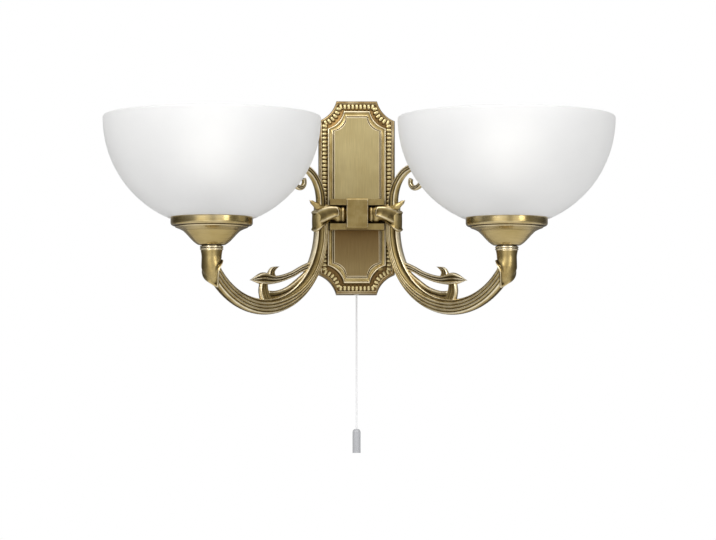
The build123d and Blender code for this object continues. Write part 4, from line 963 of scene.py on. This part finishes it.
@dataclass
class Saddle:
    """The channelled saddle and the brushed block before it."""

    edge: float = 0.7
    block_edge: float = 0.9
    rubbed: float = 0.42  # how worn the rounded edges are
    largest_edge_face: float = 2.5e-5  # square metres; a larger face is flat and stays unworn

    def softened(self, name: str, node: str, edge: float, material: bpy.types.Material) -> None:
        """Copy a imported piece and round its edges; the copy stands for the node.

        Args:
            name: The new piece's name.
            node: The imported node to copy.
            edge: The edges' radius.
            material: The finish.
        """
        mesh = bpy.data.objects[node].data.copy()
        mesh.name = name
        shape = bmesh.new()
        shape.from_mesh(mesh)
        bmesh.ops.remove_doubles(shape, verts=shape.verts, dist=1e-6)
        bmesh.ops.dissolve_limit(
            shape, angle_limit=math.radians(1.0), verts=shape.verts, edges=shape.edges
        )
        for face in shape.faces:
            face.smooth = True
        for line in shape.edges:
            line.smooth = line.calc_face_angle(0.0) < math.radians(28)
        shape.to_mesh(mesh)
        shape.free()
        piece = link_object(name, mesh)
        bevel = piece.modifiers.new("edges", "BEVEL")
        bevel.width = edge * MM
        bevel.segments = 4
        bevel.limit_method = "ANGLE"
        bevel.angle_limit = math.radians(40)
        bevel.use_clamp_overlap = True
        bevel.harden_normals = False
        made = keep_result(piece)
        made.shade_smooth()
        widest = np.zeros(len(made.vertices))
        for face in made.polygons:
            for index in face.vertices:
                widest[index] = max(widest[index], face.area)
        paint(made, "wear", np.where(widest < self.largest_edge_face, self.rubbed, 0.0))
        settle(piece, material, (node,))

    def build(self, finishes: Finishes) -> None:
        """Build both pieces."""
        self.softened("arm_saddle_casting", "arm_saddle", self.edge, finishes.block)
        self.softened("centre_block_casting", "centre_block", self.block_edge, finishes.block)


# ------------------------------------------------------------------ arms


@dataclass
class ArmRoute:
    """The arm's middle line in its own plane: stem, great arc, small arc and rise."""

    arc_s: float = 107.5
    arc_z: float = -26.0
    arc_radius: float = 66.0
    end_radius: float = 20.0
    cup_s: float = 162.6
    start_z: float = -9.0
    sleeve_z: float = -49.7

    def __post_init__(self) -> None:
        """Work out where the arcs meet."""
        self.end_s = self.cup_s - self.end_radius
        reach = self.arc_radius - self.end_radius
        fall = math.sqrt(reach**2 - (self.end_s - self.arc_s) ** 2)
        self.end_z = self.arc_z - fall
        self.turn = math.atan2(fall, self.end_s - self.arc_s)
        self.lengths = [
            self.start_z - self.arc_z,
            self.arc_radius * (math.pi - self.turn),
            self.end_radius * self.turn,
            self.sleeve_z - self.end_z,
        ]
        self.total = sum(self.lengths)

    def at(self, length: float) -> Spot:
        """Find the place that lies a length along the line."""
        stem, great, small, _ = self.lengths
        if length <= stem:
            return self.arc_s - self.arc_radius, self.start_z - length, 0.0, -1.0
        length -= stem
        if length <= great:
            angle = math.pi + length / self.arc_radius
            return arc_spot(self.arc_s, self.arc_z, self.arc_radius, angle, 1)
        length -= great
        if length <= small:
            angle = FULL_TURN - self.turn + length / self.end_radius
            return arc_spot(self.end_s, self.end_z, self.end_radius, angle, 1)
        return self.cup_s, self.end_z + length - small, 0.0, 1.0


@dataclass(frozen=True)
class Leaf:
    """A leaf in the arm's plane: its two edges, root first, and how thick and hollow it is."""

    upper: tuple[Point2, ...]
    lower: tuple[Point2, ...]
    thickness: tuple[Point2, ...]  # (share along, full thickness)
    hollow: float  # how deep the face is hollowed, as a share of half the thickness
    rows: int = 46


LEAVES: dict[str, Leaf] = {
    "leaf": Leaf(
        ((50, -52.5), (63, -57.2), (77, -63.3), (93, -66.8), (107.5, -64.8), (121, -71.4)),
        ((53, -60), (63, -62.6), (74, -67.4), (90, -72.4), (107, -74.4), (121, -71.4)),
        ((0, 4.4), (0.5, 5.2), (0.8, 6.4), (1, 1.6)),
        0.5,
    ),
    "leaf_curl": Leaf(
        ((92.5, -68.0), (94.2, -64.6), (92.6, -62.0), (88.6, -59.2)),
        ((102.5, -68.0), (101.0, -63.8), (97.2, -60.2), (88.6, -59.2)),
        ((0, 4.4), (0.6, 3.4), (1, 0.8)),
        0.35,
        20,
    ),
    "inner_blade": Leaf(
        ((50.5, -56.0), (59.0, -61.4), (68.0, -67.6), (80.0, -74.8), (92.0, -78.6), (101.5, -79.0)),
        ((53.0, -62.5), (60.0, -72.0), (70.0, -80.0), (82.0, -86.0), (94.0, -89.0), (103.0, -90.0)),
        ((0, 4.2), (0.5, 5.4), (1, 4.6)),
        0.62,
    ),
    "hook": Leaf(
        ((98.0, -88.5), (99.5, -82.5), (101.6, -77.6), (102.2, -71.0)),
        ((108.0, -89.8), (110.4, -83.8), (111.2, -78.5), (109.6, -71.0)),
        ((0, 6.4), (0.5, 4.8), (1, 4.2)),
        0.3,
        24,
    ),
}


@dataclass
class Arm:
    """One cast arm: reeded stem and arc, horn and scroll, tie band, leaf spray, hook, sleeve."""

    sign: int
    plane_y: float = -2.2
    height: float = 12.5
    half_thickness: float = 3.7
    reeds: int = 4
    reed_rise: float = 1.15
    cove_rim: float = 1.1
    cove_depth: float = 1.5
    cove_shares: tuple[Point2, ...] = ((0, 0.5), (0.25, 0.5), (0.55, 0.2), (1, 0.1))
    stem_s: float = 41.5
    stem_top: float = -5.0
    # the horn: radii of its rise, its top, its scroll and the scroll's eye
    horn_radii: tuple[float, ...] = (29.0, 21.0, 8.5, 5.0)
    horn_rise: float = math.radians(51.0)
    eye_turn: float = math.radians(120)
    # (share along, full size)
    horn_width: tuple[Point2, ...] = (
        (0, 9.6), (0.2, 8.4), (0.42, 6.9), (0.62, 5.4), (0.86, 4.4), (1, 3.6)
    )  # fmt: skip
    horn_thickness: tuple[Point2, ...] = (
        (0, 6.6), (0.2, 5.6), (0.42, 4.8), (0.62, 4.4), (0.86, 3.8), (1, 3.2)
    )  # fmt: skip
    band_half: Point2 = (6.55, 4.75)
    # heights of the tie band's foot and top, at the arm's inner and outer edge
    band_foot: Point2 = (-20.5, -29.5)
    band_top: Point2 = (-7.2, -12.5)
    # the strap's edges (x, z) and its depth by the share along, from the tie band inwards
    strap_upper: tuple[Point2, ...] = ((36.2, -13.6), (30.0, -11.0), (22.5, -9.1), (17.9, -9.0))
    strap_lower: tuple[Point2, ...] = ((34.2, -25.0), (25.0, -21.0), (18.3, -18.0), (17.2, -17.7))
    strap_depth: tuple[Point2, ...] = (
        (0, -32.5), (0.2, -37.6), (0.4, -40.0), (0.65, -40.2), (0.85, -39.2), (1.0, -38.6)
    )  # fmt: skip
    spur_route: tuple[Point3, ...] = (
        (26.0, -33.0, -13.0), (31.5, -36.5, -9.5), (38.4, -39.3, -4.2)
    )  # fmt: skip
    spur_radii: tuple[Point2, ...] = ((0, 3.4), (0.5, 2.8), (0.85, 1.7), (1, 0.5))
    root_axis: Point2 = (-31.54, -15.0)
    # (x, radius) along the root
    root_stations: tuple[Point2, ...] = (
        (8.9, 4.6), (9.3, 5.3), (10.2, 6.0), (11.2, 6.5), (12.2, 6.3), (12.9, 5.7), (13.8, 6.1),
        (15.0, 6.6), (16.4, 6.6), (17.8, 6.0), (19.0, 5.2), (29.3, 4.8),
    )  # fmt: skip
    # how far the sleeve's leaf drops, by the angle from the arm's inner edge towards the viewer
    sleeve_foot: tuple[Point2, ...] = (
        (0.0, 8.0), (45.0, 9.5), (75.0, 12.0), (110.0, 16.5), (152.0, 27.5),
        (180.0, 21.5), (225.0, 18.0), (270.0, 12.0), (315.0, 8.5), (360.0, 8.0),
    )  # fmt: skip

    def __post_init__(self) -> None:
        """Name the side and lay the route."""
        self.side = "right" if self.sign > 0 else "left"
        self.route = ArmRoute()

    def place(self, s: Value, z: Value, t: Value) -> np.ndarray:
        """Turn places in the arm's plane to the lamp's frame.

        Args:
            s: Distance out along the arm.
            z: Height.
            t: Distance towards the viewer, square to the arm's plane.

        Returns:
            The points.
        """
        c = math.sqrt(0.5)
        return as_points(self.sign * (s * c - t * c), self.plane_y - s * c - t * c, z)

    def cast(
        self,
        name: str,
        rings: Sequence[np.ndarray],
        finishes: Finishes,
        relief: float | None = None,
        painted: Painted | None = None,
    ) -> None:
        """Make one piece of the arm from its rings.

        Args:
            name: What the piece is, for its name.
            rings: The rings that it is skinned over.
            finishes: The finishes.
            relief: The radius of an edge that is worn bright, or None where it is painted.
            painted: Wear and hollow at the rings' points.
        """
        piece = mesh_piece(f"{self.side}_arm_{name}", *swept_rings(rings), painted)
        if relief is not None:
            paint_relief(piece, relief)
        settle(piece, finishes.cast, (f"{self.side}_arm",))

    def section(self, cove: float) -> tuple[np.ndarray, np.ndarray, np.ndarray, np.ndarray]:
        """Draw half of the arm's reeded section.

        Args:
            cove: The share of the height that the smooth cove takes, at the inner edge.

        Returns:
            Heights across the arm, outer edge first, and at each of them half the thickness,
            how worn the metal is and how dark the patina lies.
        """
        half = self.height / 2
        edge = half - cove * self.height
        phase = np.concatenate([[0, 0.004, 0.015], np.linspace(0, self.reeds, 49)[1:]])
        rest = np.concatenate([np.linspace(0, 1, 20)[1:-1], [0.975, 0.993, 1]])
        in_reeds = -half + (edge + half) * phase / self.reeds
        across = np.concatenate([in_reeds, edge + (half - edge) * rest])
        body = self.half_thickness * np.clip(1 - np.abs(across / half) ** 4, 0, 1) ** 0.5
        in_reed = (phase % 1) * 2 - 1
        bump = self.reed_rise * (np.sqrt(np.clip(1 - in_reed**2, 0, 1)) - 0.35)
        hollow_span = max(half - self.cove_rim - edge, 0.2)
        in_cove = np.clip((across[len(phase) :] - edge) / hollow_span, 0, 1) * 2 - 1
        dip = -self.cove_depth * min(1.0, cove / 0.3) * (1 - in_cove**2) + 0.25
        fade = np.clip(body / self.half_thickness * 1.6, 0, 1)
        groove = np.clip((np.abs(in_reed) - 0.72) / 0.28, 0, 1)
        crest = np.clip(1.35 - np.abs(in_reed) / 0.55, 0, 1)
        bed = np.clip(1 - np.abs(in_cove) ** 4, 0, 1) * 0.3
        worn = np.concatenate([0.6 * crest, np.where(np.abs(in_cove) > 0.97, 0.6, 0.0)])
        dark = np.concatenate([0.5 * groove, bed])
        return across, body + np.concatenate([bump, dip]) * fade, worn, dark

    def body(self, finishes: Finishes) -> None:
        """Sweep the reeded section from under the tie band to the sleeve."""
        rows = 190
        rings, wears, hollows = [], [], []
        for share in (k / (rows - 1) for k in range(rows)):
            s, z, ds, dz = self.route.at(share * (self.route.total - 3.0))
            cove = float(steps(self.cove_shares, np.array([share]))[0])
            across, half, worn, dark = self.section(cove)
            rings.append(
                self.place(
                    there_and_back(s + across * -dz),
                    there_and_back(z + across * ds),
                    np.concatenate([half, -half[::-1]]),
                )
            )
            wears.append(there_and_back(worn))
            hollows.append(there_and_back(dark))
        painted = {"wear": np.stack(wears), "hollow": np.stack(hollows)}
        self.cast("reeded_body", rings, finishes, painted=painted)

    def horn(self, finishes: Finishes) -> None:
        """Sweep the horn that rises from the stem, turns over and scrolls in."""
        low, high, curl, eye = self.horn_radii
        rise = self.horn_rise
        top_s = self.stem_s + low * (1 - math.cos(rise)) + high * math.cos(rise)
        top_z = self.stem_top + low * math.sin(rise) + high * (1 - math.sin(rise))
        # centre, radius, first angle, how far it turns clockwise, steps
        arcs = (
            (self.stem_s + low, self.stem_top, low, math.pi, rise, 30),
            (top_s, top_z - high, high, math.pi - rise, math.pi / 2 - rise, 16),
            (top_s, top_z - curl, curl, math.pi / 2, math.pi, 34),
            (top_s, top_z - 2 * curl + eye, eye, -math.pi / 2, self.eye_turn, 20),
        )
        spots: list[Spot] = [(self.stem_s, -20.0 + 15.0 * k / 8, 0.0, 1.0) for k in range(8)]
        for s, z, radius, start, sweep, number in arcs:
            angles = (start - sweep * k / number for k in range(number))
            spots += [arc_spot(s, z, radius, angle, -1) for angle in angles]
        spots.append(arc_spot(s, z, radius, start - sweep, -1))
        line = np.array(spots)
        run = np.concatenate([[0], np.cumsum(np.hypot(*np.diff(line[:, :2], axis=0).T))])
        share = run / run[-1]
        turn = round_steps(40)
        oval_u = np.sign(np.cos(turn)) * np.abs(np.cos(turn)) ** 0.8
        oval_v = np.sign(np.sin(turn)) * np.abs(np.sin(turn)) ** 0.8
        rings = []
        sizes = zip(spots, steps(self.horn_width, share), steps(self.horn_thickness, share))
        for (s, z, ds, dz), w, t in sizes:
            u, v = oval_u * w / 2, oval_v * t / 2
            reed = 0.8 * min(1.0, w / 7) * (np.abs(np.cos(u / w * 3 * math.pi)) - 0.4)
            v = v + np.sign(v) * reed * np.clip(np.abs(v) / (t / 2) * 1.4, 0, 1)
            rings.append(self.place(s + u * dz, z - u * ds, v))
        self.cast("horn", rings, finishes, 1.1)

    def leaf_rings(self, leaf: Leaf) -> list[np.ndarray]:
        """Draw a leaf's rings, with a raised rim, a hollow face and a low vein."""
        top, low = curve_through(leaf.upper, leaf.rows), curve_through(leaf.lower, leaf.rows)
        full = steps(leaf.thickness, np.linspace(0, 1, leaf.rows))
        across = 0.5 - 0.5 * np.cos(np.linspace(0, math.pi, 22))
        shape = np.clip(1 - np.abs(2 * across - 1) ** 3.2, 0, 1) ** 0.5
        middle = np.clip(1 - ((across - 0.5) / 0.36) ** 2, 0, 1)
        vein = np.exp(-(((across - 0.5) / 0.07) ** 2))
        face = shape * (1 - leaf.hollow * middle + 0.45 * leaf.hollow * vein)
        rings = []
        for a, b, thickness in zip(top, low, full):
            s, z = (there_and_back(a[i] + (b[i] - a[i]) * across) for i in range(2))
            half = thickness / 2 * face
            rings.append(self.place(s, z, np.concatenate([half, -half[::-1]])))
        return rings

    def tie_band(self, finishes: Finishes) -> None:
        """Build the band that ties the arm to its root: crowned, with a lip at either edge."""
        rows, power = 25, 0.62
        cos, sin = np.cos(round_steps(72)), np.sin(round_steps(72))
        u = np.sign(cos) * np.abs(cos) ** power
        v = np.sign(sin) * np.abs(sin) ** power
        bow = 1.6 * (v > 0) * (1 - u**2)
        low = self.band_foot[0] + (self.band_foot[1] - self.band_foot[0]) * (u + 1) / 2 + bow * 0.4
        high = self.band_top[0] + (self.band_top[1] - self.band_top[0]) * (u + 1) / 2 + bow
        rings = []
        for k in range(rows):
            share = k / (rows - 1)
            lip = bump_at(share, 0.09, 0.055) + bump_at(share, 0.91, 0.055)
            edge = -0.9 if k in (0, rows - 1) else 0.0
            out = 0.35 + 0.75 * lip + 0.275 * math.sin(math.pi * share) + edge
            s = self.stem_s + u * (self.band_half[0] + out)
            rings.append(self.place(s, low + (high - low) * share, v * (self.band_half[1] + out)))
        self.cast("tie_band", rings, finishes, 1.1)

    def spur(self, finishes: Finishes) -> None:
        """Sweep the spur that springs from the tie band, a round bead of falling radius."""
        given = [(self.sign * x, y, z) for x, y, z in self.spur_route]
        flat_xz = curve_through([(x, z) for x, _, z in given], 40)
        flat_y = curve_through([(float(i), y) for i, (_, y, _) in enumerate(given)], 40)[:, 1]
        line = np.column_stack([flat_xz[:, 0], flat_y, flat_xz[:, 1]])
        ahead = np.gradient(line, axis=0)
        ahead /= np.linalg.norm(ahead, axis=1)[:, None]
        cos, sin = np.cos(round_steps(16))[:, None], np.sin(round_steps(16))[:, None]
        rings = []
        for spot, way, r in zip(line, ahead, steps(self.spur_radii, np.linspace(0, 1, len(line)))):
            side = np.cross(way, (0.0, 1.0, 0.0))
            side /= np.linalg.norm(side)
            rings.append(spot + r * (cos * side + sin * np.cross(side, way)))
        self.cast("spur", rings, finishes, 0.6)

    def strap(self, finishes: Finishes) -> None:
        """Build the strap that laps from the tie band over the root: raised rims, round end."""
        rows, count = 44, 26
        top, low = curve_through(self.strap_upper, rows), curve_through(self.strap_lower, rows)
        bow = np.linspace(0, 1, rows)
        depth = np.interp(bow, *zip(*self.strap_depth))
        across = 0.5 - 0.5 * np.cos(np.linspace(0, math.pi, count))
        shape = np.clip(1 - np.abs(2 * across - 1) ** 3.4, 0, 1) ** 0.5
        cove = np.clip(1 - ((across - 0.5) / 0.34) ** 2, 0, 1)
        round_end = 3.6 * np.sqrt(np.clip(1 - (2 * across - 1) ** 2, 0, 1))
        rings, wears, hollows = [], [], []
        for k in range(rows):
            reach = max(0.0, (bow[k] - 0.6) / 0.4)
            x = top[k, 0] + (low[k, 0] - top[k, 0]) * across - round_end * reach
            z = top[k, 1] + (low[k, 1] - top[k, 1]) * across
            lip = bump_at(bow[k], 0.94, 0.05)
            half = 2.0 * shape * (1 - 0.8 * cove * (1 - lip) + 0.1 * lip)
            half = half * (0.35 if k == rows - 1 else 1.0)
            y = depth[k] + np.concatenate([-half, half[::-1]])
            rings.append(as_points(self.sign * there_and_back(x), y, there_and_back(z)))
            rim = np.maximum(0.5 * np.clip(1 - cove * 3, 0, 1) * shape, 0.5 * lip)
            wears.append(there_and_back(rim))
            hollows.append(there_and_back(0.36 * cove**0.6 * (1 - lip)))
        painted = {"wear": np.stack(wears), "hollow": np.stack(hollows)}
        self.cast("strap", rings, finishes, painted=painted)

    def root(self, finishes: Finishes) -> None:
        """Turn the root that lies in the saddle's channel, with its ring."""
        y, z = self.root_axis
        cos, sin = np.cos(round_steps(40)), np.sin(round_steps(40))
        rings = [as_points(self.sign * x, y + r * cos, z + r * sin) for x, r in self.root_stations]
        self.cast("root", rings, finishes, 0.9)

    def sleeve(self, finishes: Finishes) -> None:
        """Build the leaf that wraps the arm's end: a sleeve with a pointed, rimmed foot."""
        rows = 40
        turn = round_steps(96)
        drop = np.interp(np.degrees(turn), *zip(*self.sleeve_foot))
        for _ in range(4):
            drop = 0.5 * drop + 0.25 * (np.roll(drop, 1) + np.roll(drop, -1))
        rings = []
        for share in (k / (rows - 1) for k in range(rows)):
            lip = 0.9 * bump_at(share, 0.93, 0.05) - 0.4 * bump_at(share, 0.78, 0.08)
            lip -= 1.6 if share == 1 else 0.0
            ring = []
            for angle, full in zip(turn, drop):
                back = full * share
                s, z, ds, dz = self.route.at(self.route.total - back)
                wide = 8.6 - 0.9 * math.sin(math.pi * min(1.0, back / 12.0)) + 0.02 * back
                radius = wide + lip
                reach = radius * math.cos(angle)  # outward from the arm's inner edge
                ring.append(self.place(s - dz * reach, z + ds * reach, radius * math.sin(angle)))
            rings.append(np.array(ring))
        self.cast("sleeve", rings, finishes, 1.2)

    def build(self, finishes: Finishes) -> None:
        """Build the arm's pieces."""
        self.body(finishes)
        self.horn(finishes)
        for name, leaf in LEAVES.items():
            self.cast(name, self.leaf_rings(leaf), finishes, 1.3)
        self.tie_band(finishes)
        self.root(finishes)
        self.sleeve(finishes)
        self.strap(finishes)
        self.spur(finishes)


# ------------------------------------------------------------------ cups and bowls


@dataclass
class LampHead:
    """One collar, cup and opal bowl, turned about an upright axis."""

    sign: int
    cup_x: float = 114.976
    cup_y: float = -117.176
    bowl_radius: float = 85.0
    bowl_centre_z: float = 53.4
    bowl_wall: float = 3.0
    bowl_hole: float = 15.2
    seat_reach: float = 33.3  # the bowl is ground back inside this radius, where the cup's rim sits
    seat_depth: float = 2.2
    # (radius, z, corner radius) of the collar: two beads with a groove between them
    collar: tuple[Point3, ...] = (
        (5.05, -49.7, 0), (8.5, -49.7, 0.3), (9.2, -49.1, 0.6), (9.2, -48.6, 0.4),
        (8.5, -48.2, 0.2), (9.2, -47.8, 0.5), (9.2, -46.9, 0.6), (8.5, -46.4, 0.3),
        (5.05, -46.4, 0),
    )  # fmt: skip
    # (radius, z, corner radius) of the cup: neck, flare, fine bead, upright rim, then its inside
    cup: tuple[Point3, ...] = (
        (7.6, -46.4, 0.1), (7.6, -45.9, 0.2), (10.8, -45.6, 0.4), (13.6, -43.7, 1.4),
        (16.7, -40.6, 1.8), (19.4, -37.5, 1.8), (22.4, -34.7, 0.8), (25.2, -33.3, 0.8),
        (28.4, -32.1, 0.5), (28.9, -31.1, 0.3), (30.9, -30.7, 0.7), (32.0, -29.4, 1.1),
        (32.0, -24.0, 0.5), (31.6, -23.5, 0.2), (30.9, -23.5, 0.2), (30.2, -24.7, 0.4),
        (27.0, -27.0, 1.0), (20.0, -31.6, 1.5), (12.0, -41.0, 2.0), (8.8, -44.3, 0.5),
        (5.05, -44.3, 0.0), (5.05, -46.4, 0.0),
    )  # fmt: skip

    def bowl_profile(self) -> list[Point2]:
        """Draw the bowl's section: ball outside with its ground seat, rounded lip, ball inside."""
        outer, inner = self.bowl_radius, self.bowl_radius - self.bowl_wall
        quarter, middle = math.pi / 2, self.bowl_centre_z
        start, start_in = (math.asin(self.bowl_hole / radius) for radius in (outer, inner))
        profile: list[Point2] = []
        for k in range(181):
            angle = start + (quarter - start) * k / 180
            seat = min(max((self.seat_reach + 0.5 - outer * math.sin(angle)) / 0.5, 0.0), 1.0)
            reach = outer - self.seat_depth * seat
            profile.append((reach * math.sin(angle), middle - reach * math.cos(angle)))
        lip = self.bowl_wall / 2
        for angle in (math.pi * k / 8 for k in range(1, 8)):
            profile.append((outer - lip * (1 - math.cos(angle)), middle + lip * math.sin(angle)))
        for angle in (quarter - (quarter - start_in) * k / 60 for k in range(61)):
            profile.append((inner * math.sin(angle), middle - inner * math.cos(angle)))
        return profile

    def build(self, finishes: Finishes) -> None:
        """Turn the head's three pieces."""
        side = "right" if self.sign > 0 else "left"
        centre = (self.sign * self.cup_x, self.cup_y)
        collar = lathe(f"{side}_collar_ring", rounded_profile(self.collar), centre, 72)
        paint_relief(collar, 0.7)
        settle(collar, finishes.turned, (f"{side}_collar",))
        cup = lathe(f"{side}_cup_shell", rounded_profile(self.cup, 7), centre, 128)
        paint_relief(cup, 0.6)
        settle(cup, finishes.turned, (f"{side}_cup",))
        bowl = lathe(f"{side}_opal_bowl", self.bowl_profile(), centre, 192)
        settle(bowl, finishes.opal, (f"{side}_shade",))


# ------------------------------------------------------------------ pull cord


@dataclass
class PullCord:
    """The plaited cord that hangs from the bush, down into its bell."""

    depth: float = 12.0
    top_z: float = -79.6
    bottom_z: float = -194.4
    radius: float = 0.7

    def build(self, finishes: Finishes) -> None:
        line = bpy.data.curves.new("pull_cord_line", "CURVE")
        line.dimensions = "3D"
        line.bevel_depth = self.radius * MM
        line.bevel_resolution = 4
        line.use_fill_caps = True
        spline = line.splines.new("NURBS")
        heights = [self.top_z + (self.bottom_z - self.top_z) * k / 5 for k in range(6)]
        spline.points.add(len(heights) - 1)
        for point, z in zip(spline.points, heights):
            point.co = (0.0, -self.depth * MM, z * MM, 1.0)
        spline.order_u = 3
        spline.use_endpoint_u = True
        cord = link_object("pull_cord_plait", line)
        line.materials.append(finishes.by_slot[Slot.CORD])
        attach(cord, Body.HANGING_CORD.value)
        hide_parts("pull_cord")
        LOG.info("pull cord: %.1f mm", self.top_z - self.bottom_z)


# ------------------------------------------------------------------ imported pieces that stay


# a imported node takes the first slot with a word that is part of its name
SLOT_WORDS: dict[Slot, tuple[str, ...]] = {
    Slot.SMALL_BRASS: (
        "nipple", "nut", "socket_shell", "contact", "inserts", "side_screws", "earth_screw"
    ),  # fmt: skip
    Slot.ZINC_STEEL: ("screw", "bolt", "bracket"),
    Slot.BLACK_PLASTIC: ("lampholder", "shade_ring", "housing", "cover"),
    Slot.OPAL_GLASS: ("shade",),
    Slot.BULB_GLASS: ("bulb_glass",),
    Slot.BULB_CAP: ("bulb_cap",),
    Slot.WHITE_PLASTIC: ("terminal_block", "drum", "bush"),
    Slot.LEAD_SHEATH: ("lead",),
    Slot.SPRING_STEEL: ("spring",),
    Slot.BELL: ("bell",),
    Slot.CORD: ("cord",),
    Slot.BRASS: ("backplate", "saddle", "centre_block", "collar", "cup", "arm"),
}


def dress_packed_nodes(frame: dict, finishes: Finishes) -> None:
    """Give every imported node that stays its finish.

    Args:
        finishes: The finishes.
    """
    for name, node in sorted(frame["nodes"].items()):
        slot = next(s for s, words in SLOT_WORDS.items() if any(word in name for word in words))
        material = finishes.by_slot[slot]
        if not node.material_slots:
            node.data.materials.append(material)
        for place in node.material_slots:
            place.material = material
        LOG.info("%s takes %s", name, material.name)


# ------------------------------------------------------------------ light, floor and camera


@dataclass(frozen=True)
class Softbox:
    """A soft rectangular lamp that points at the light, in metres and watts."""

    name: str
    place: Point3
    size: Point2
    power: float

    def hang(self, aim: Point3) -> None:
        """Hang the lamp and point it."""
        data = bpy.data.lights.new(self.name, "AREA")
        data.shape = "RECTANGLE"
        data.size, data.size_y = self.size
        data.energy = self.power
        light = link_object(self.name, data)
        light.location = self.place
        way = Vector(aim) - Vector(self.place)
        light.rotation_euler = way.to_track_quat("-Z", "Y").to_euler()


@dataclass
class Studio:
    """White surroundings, soft lamps, a pale floor and the photograph's camera, in metres."""

    lens: float = 141.28
    camera_place: Point3 = (-0.048, -2.300, -0.195)
    yaw: float = 1.2315
    pitch: float = 3.404
    floor_z: float = -1.6
    floor_half: float = 2.2
    middle: Point3 = (0.0, -0.08, 0.0)
    lamps: tuple[Softbox, ...] = (
        Softbox("key_softbox", (-1.1, -1.9, 1.3), (0.9, 1.2), 26.0),
        Softbox("fill_softbox", (1.5, -1.8, 0.7), (0.6, 1.4), 12.0),
        Softbox("top_softbox", (0.0, -0.5, 2.0), (1.2, 0.8), 10.0),
    )
    soft_light: float = 0.74
    # how bright the tent's upright panels are, from the far left (0) to the far right (1)
    panels: tuple[Point2, ...] = (
        (0.14, 0.25), (0.26, 1.5), (0.34, 1.6), (0.42, 1.1), (0.52, 0.45),
        (0.6, 0.55), (0.7, 1.4), (0.76, 1.3), (0.84, 0.3),
    )  # fmt: skip
    panel_ends: float = 0.2

    def camera(self) -> None:
        """Set the camera at the photograph's angle."""
        data = bpy.data.cameras.new("photo_camera")
        data.lens = self.lens
        data.sensor_width = 36.0
        data.clip_end = 60.0
        eye = link_object("photo_camera", data)
        eye.location = self.camera_place
        eye.rotation_euler = (math.radians(90 + self.pitch), 0.0, math.radians(-self.yaw))
        bpy.context.scene.camera = eye
        bpy.context.scene.view_settings.view_transform = "Standard"

    def tent(self, node: Callable[..., bpy.types.Node]) -> bpy.types.Node:
        """Draw what the metal sees: upright panels, brighter above and below, dim at the wall.

        Args:
            node: Adds a node to the world's tree.

        Returns:
            The node that gives the tent's strength.
        """
        way = node("ShaderNodeTexCoord").outputs["Generated"]
        parts = node("ShaderNodeSeparateXYZ", {"Vector": way}).outputs
        steep = node("ShaderNodeMath", {0: parts["Z"]}, operation="ABSOLUTE")
        height = node(
            "ShaderNodeMapRange",
            {"Value": steep, "From Max": 0.85, "To Min": 1.12, "To Max": 1.75},
            interpolation_type="SMOOTHSTEP",
        )
        ahead = node(
            "ShaderNodeMapRange",
            {
                "Value": parts["Y"],
                "From Min": -0.35,
                "From Max": 0.75,
                "To Min": 1.0,
                "To Max": 0.22,
            },
            interpolation_type="SMOOTHSTEP",
        )
        across = node(
            "ShaderNodeMapRange", {"Value": parts["X"], "From Min": -1.0, "From Max": 1.0}
        )
        panels = node("ShaderNodeValToRGB", {"Fac": across})
        ramp = panels.color_ramp
        ramp.interpolation = "B_SPLINE"
        for end in ramp.elements:
            end.color = (self.panel_ends,) * 3 + (1.0,)
        for place, light in self.panels:
            ramp.elements.new(place).color = (light, light, light, 1.0)
        upright = node("ShaderNodeMath", {0: height, 1: ahead}, operation="MULTIPLY")
        return node("ShaderNodeMath", {0: upright, 1: panels}, operation="MULTIPLY")

    def world(self) -> None:
        """Surround the lamp with white that its metal sees as a soft tent."""
        world = bpy.data.worlds.new("white_tent")
        bpy.context.scene.world = world
        world.use_nodes = True
        world.node_tree.nodes.clear()
        node = partial(add_node, world.node_tree)
        rays = node("ShaderNodeLightPath").outputs
        seen = node(
            "ShaderNodeMath",
            {0: rays["Is Camera Ray"], 1: rays["Is Transmission Ray"]},
            operation="MAXIMUM",
        )
        light = node(
            "ShaderNodeMix",
            {FACTOR: rays["Is Glossy Ray"], NUMBER_A: self.soft_light, NUMBER_B: self.tent(node)},
            data_type="FLOAT",
        )
        strength = node(
            "ShaderNodeMix", {FACTOR: seen, NUMBER_A: light, NUMBER_B: 1.0}, data_type="FLOAT"
        )
        white = node(
            "ShaderNodeBackground", {"Color": (1.0, 1.0, 1.0, 1.0), "Strength": strength}
        )
        node("ShaderNodeOutputWorld", {"Surface": white})

    def floor(self) -> None:
        """Lay the pale floor, below the photograph's frame."""
        half, z = self.floor_half, self.floor_z
        mesh = bpy.data.meshes.new("pale_floor")
        corners = [(-half, -half, z), (half, -half, z), (half, half, z), (-half, half, z)]
        mesh.from_pydata(corners, [], [(0, 1, 2, 3)])
        floor = link_object("pale_floor", mesh)
        # rolled matt paint, a little off white so that a shadow shows
        paint_coat = PlainFinish("pale_floor_paint", "#F2F2F2", "#EFEFEF", 0.8, grain_mm=3.0)
        floor.data.materials.append(paint_coat.build())

    def build(self) -> None:
        """Set up the camera, the surroundings, the lamps and the floor."""
        self.camera()
        self.world()
        for lamp in self.lamps:
            lamp.hang(self.middle)
        self.floor()


def main() -> None:
    """Build the lamp in order and report each piece."""
    logging.basicConfig(level=logging.INFO, format="%(name)s: %(message)s")
    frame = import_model()
    finishes = Finishes()
    Studio().build()
    PullCord().build(finishes)
    dress_packed_nodes(frame, finishes)
    Backplate().build(finishes)
    Saddle().build(finishes)
    for sign in (-1, 1):
        Arm(sign).build(finishes)
        LampHead(sign).build(finishes)


if __name__ == "__main__":
    main()
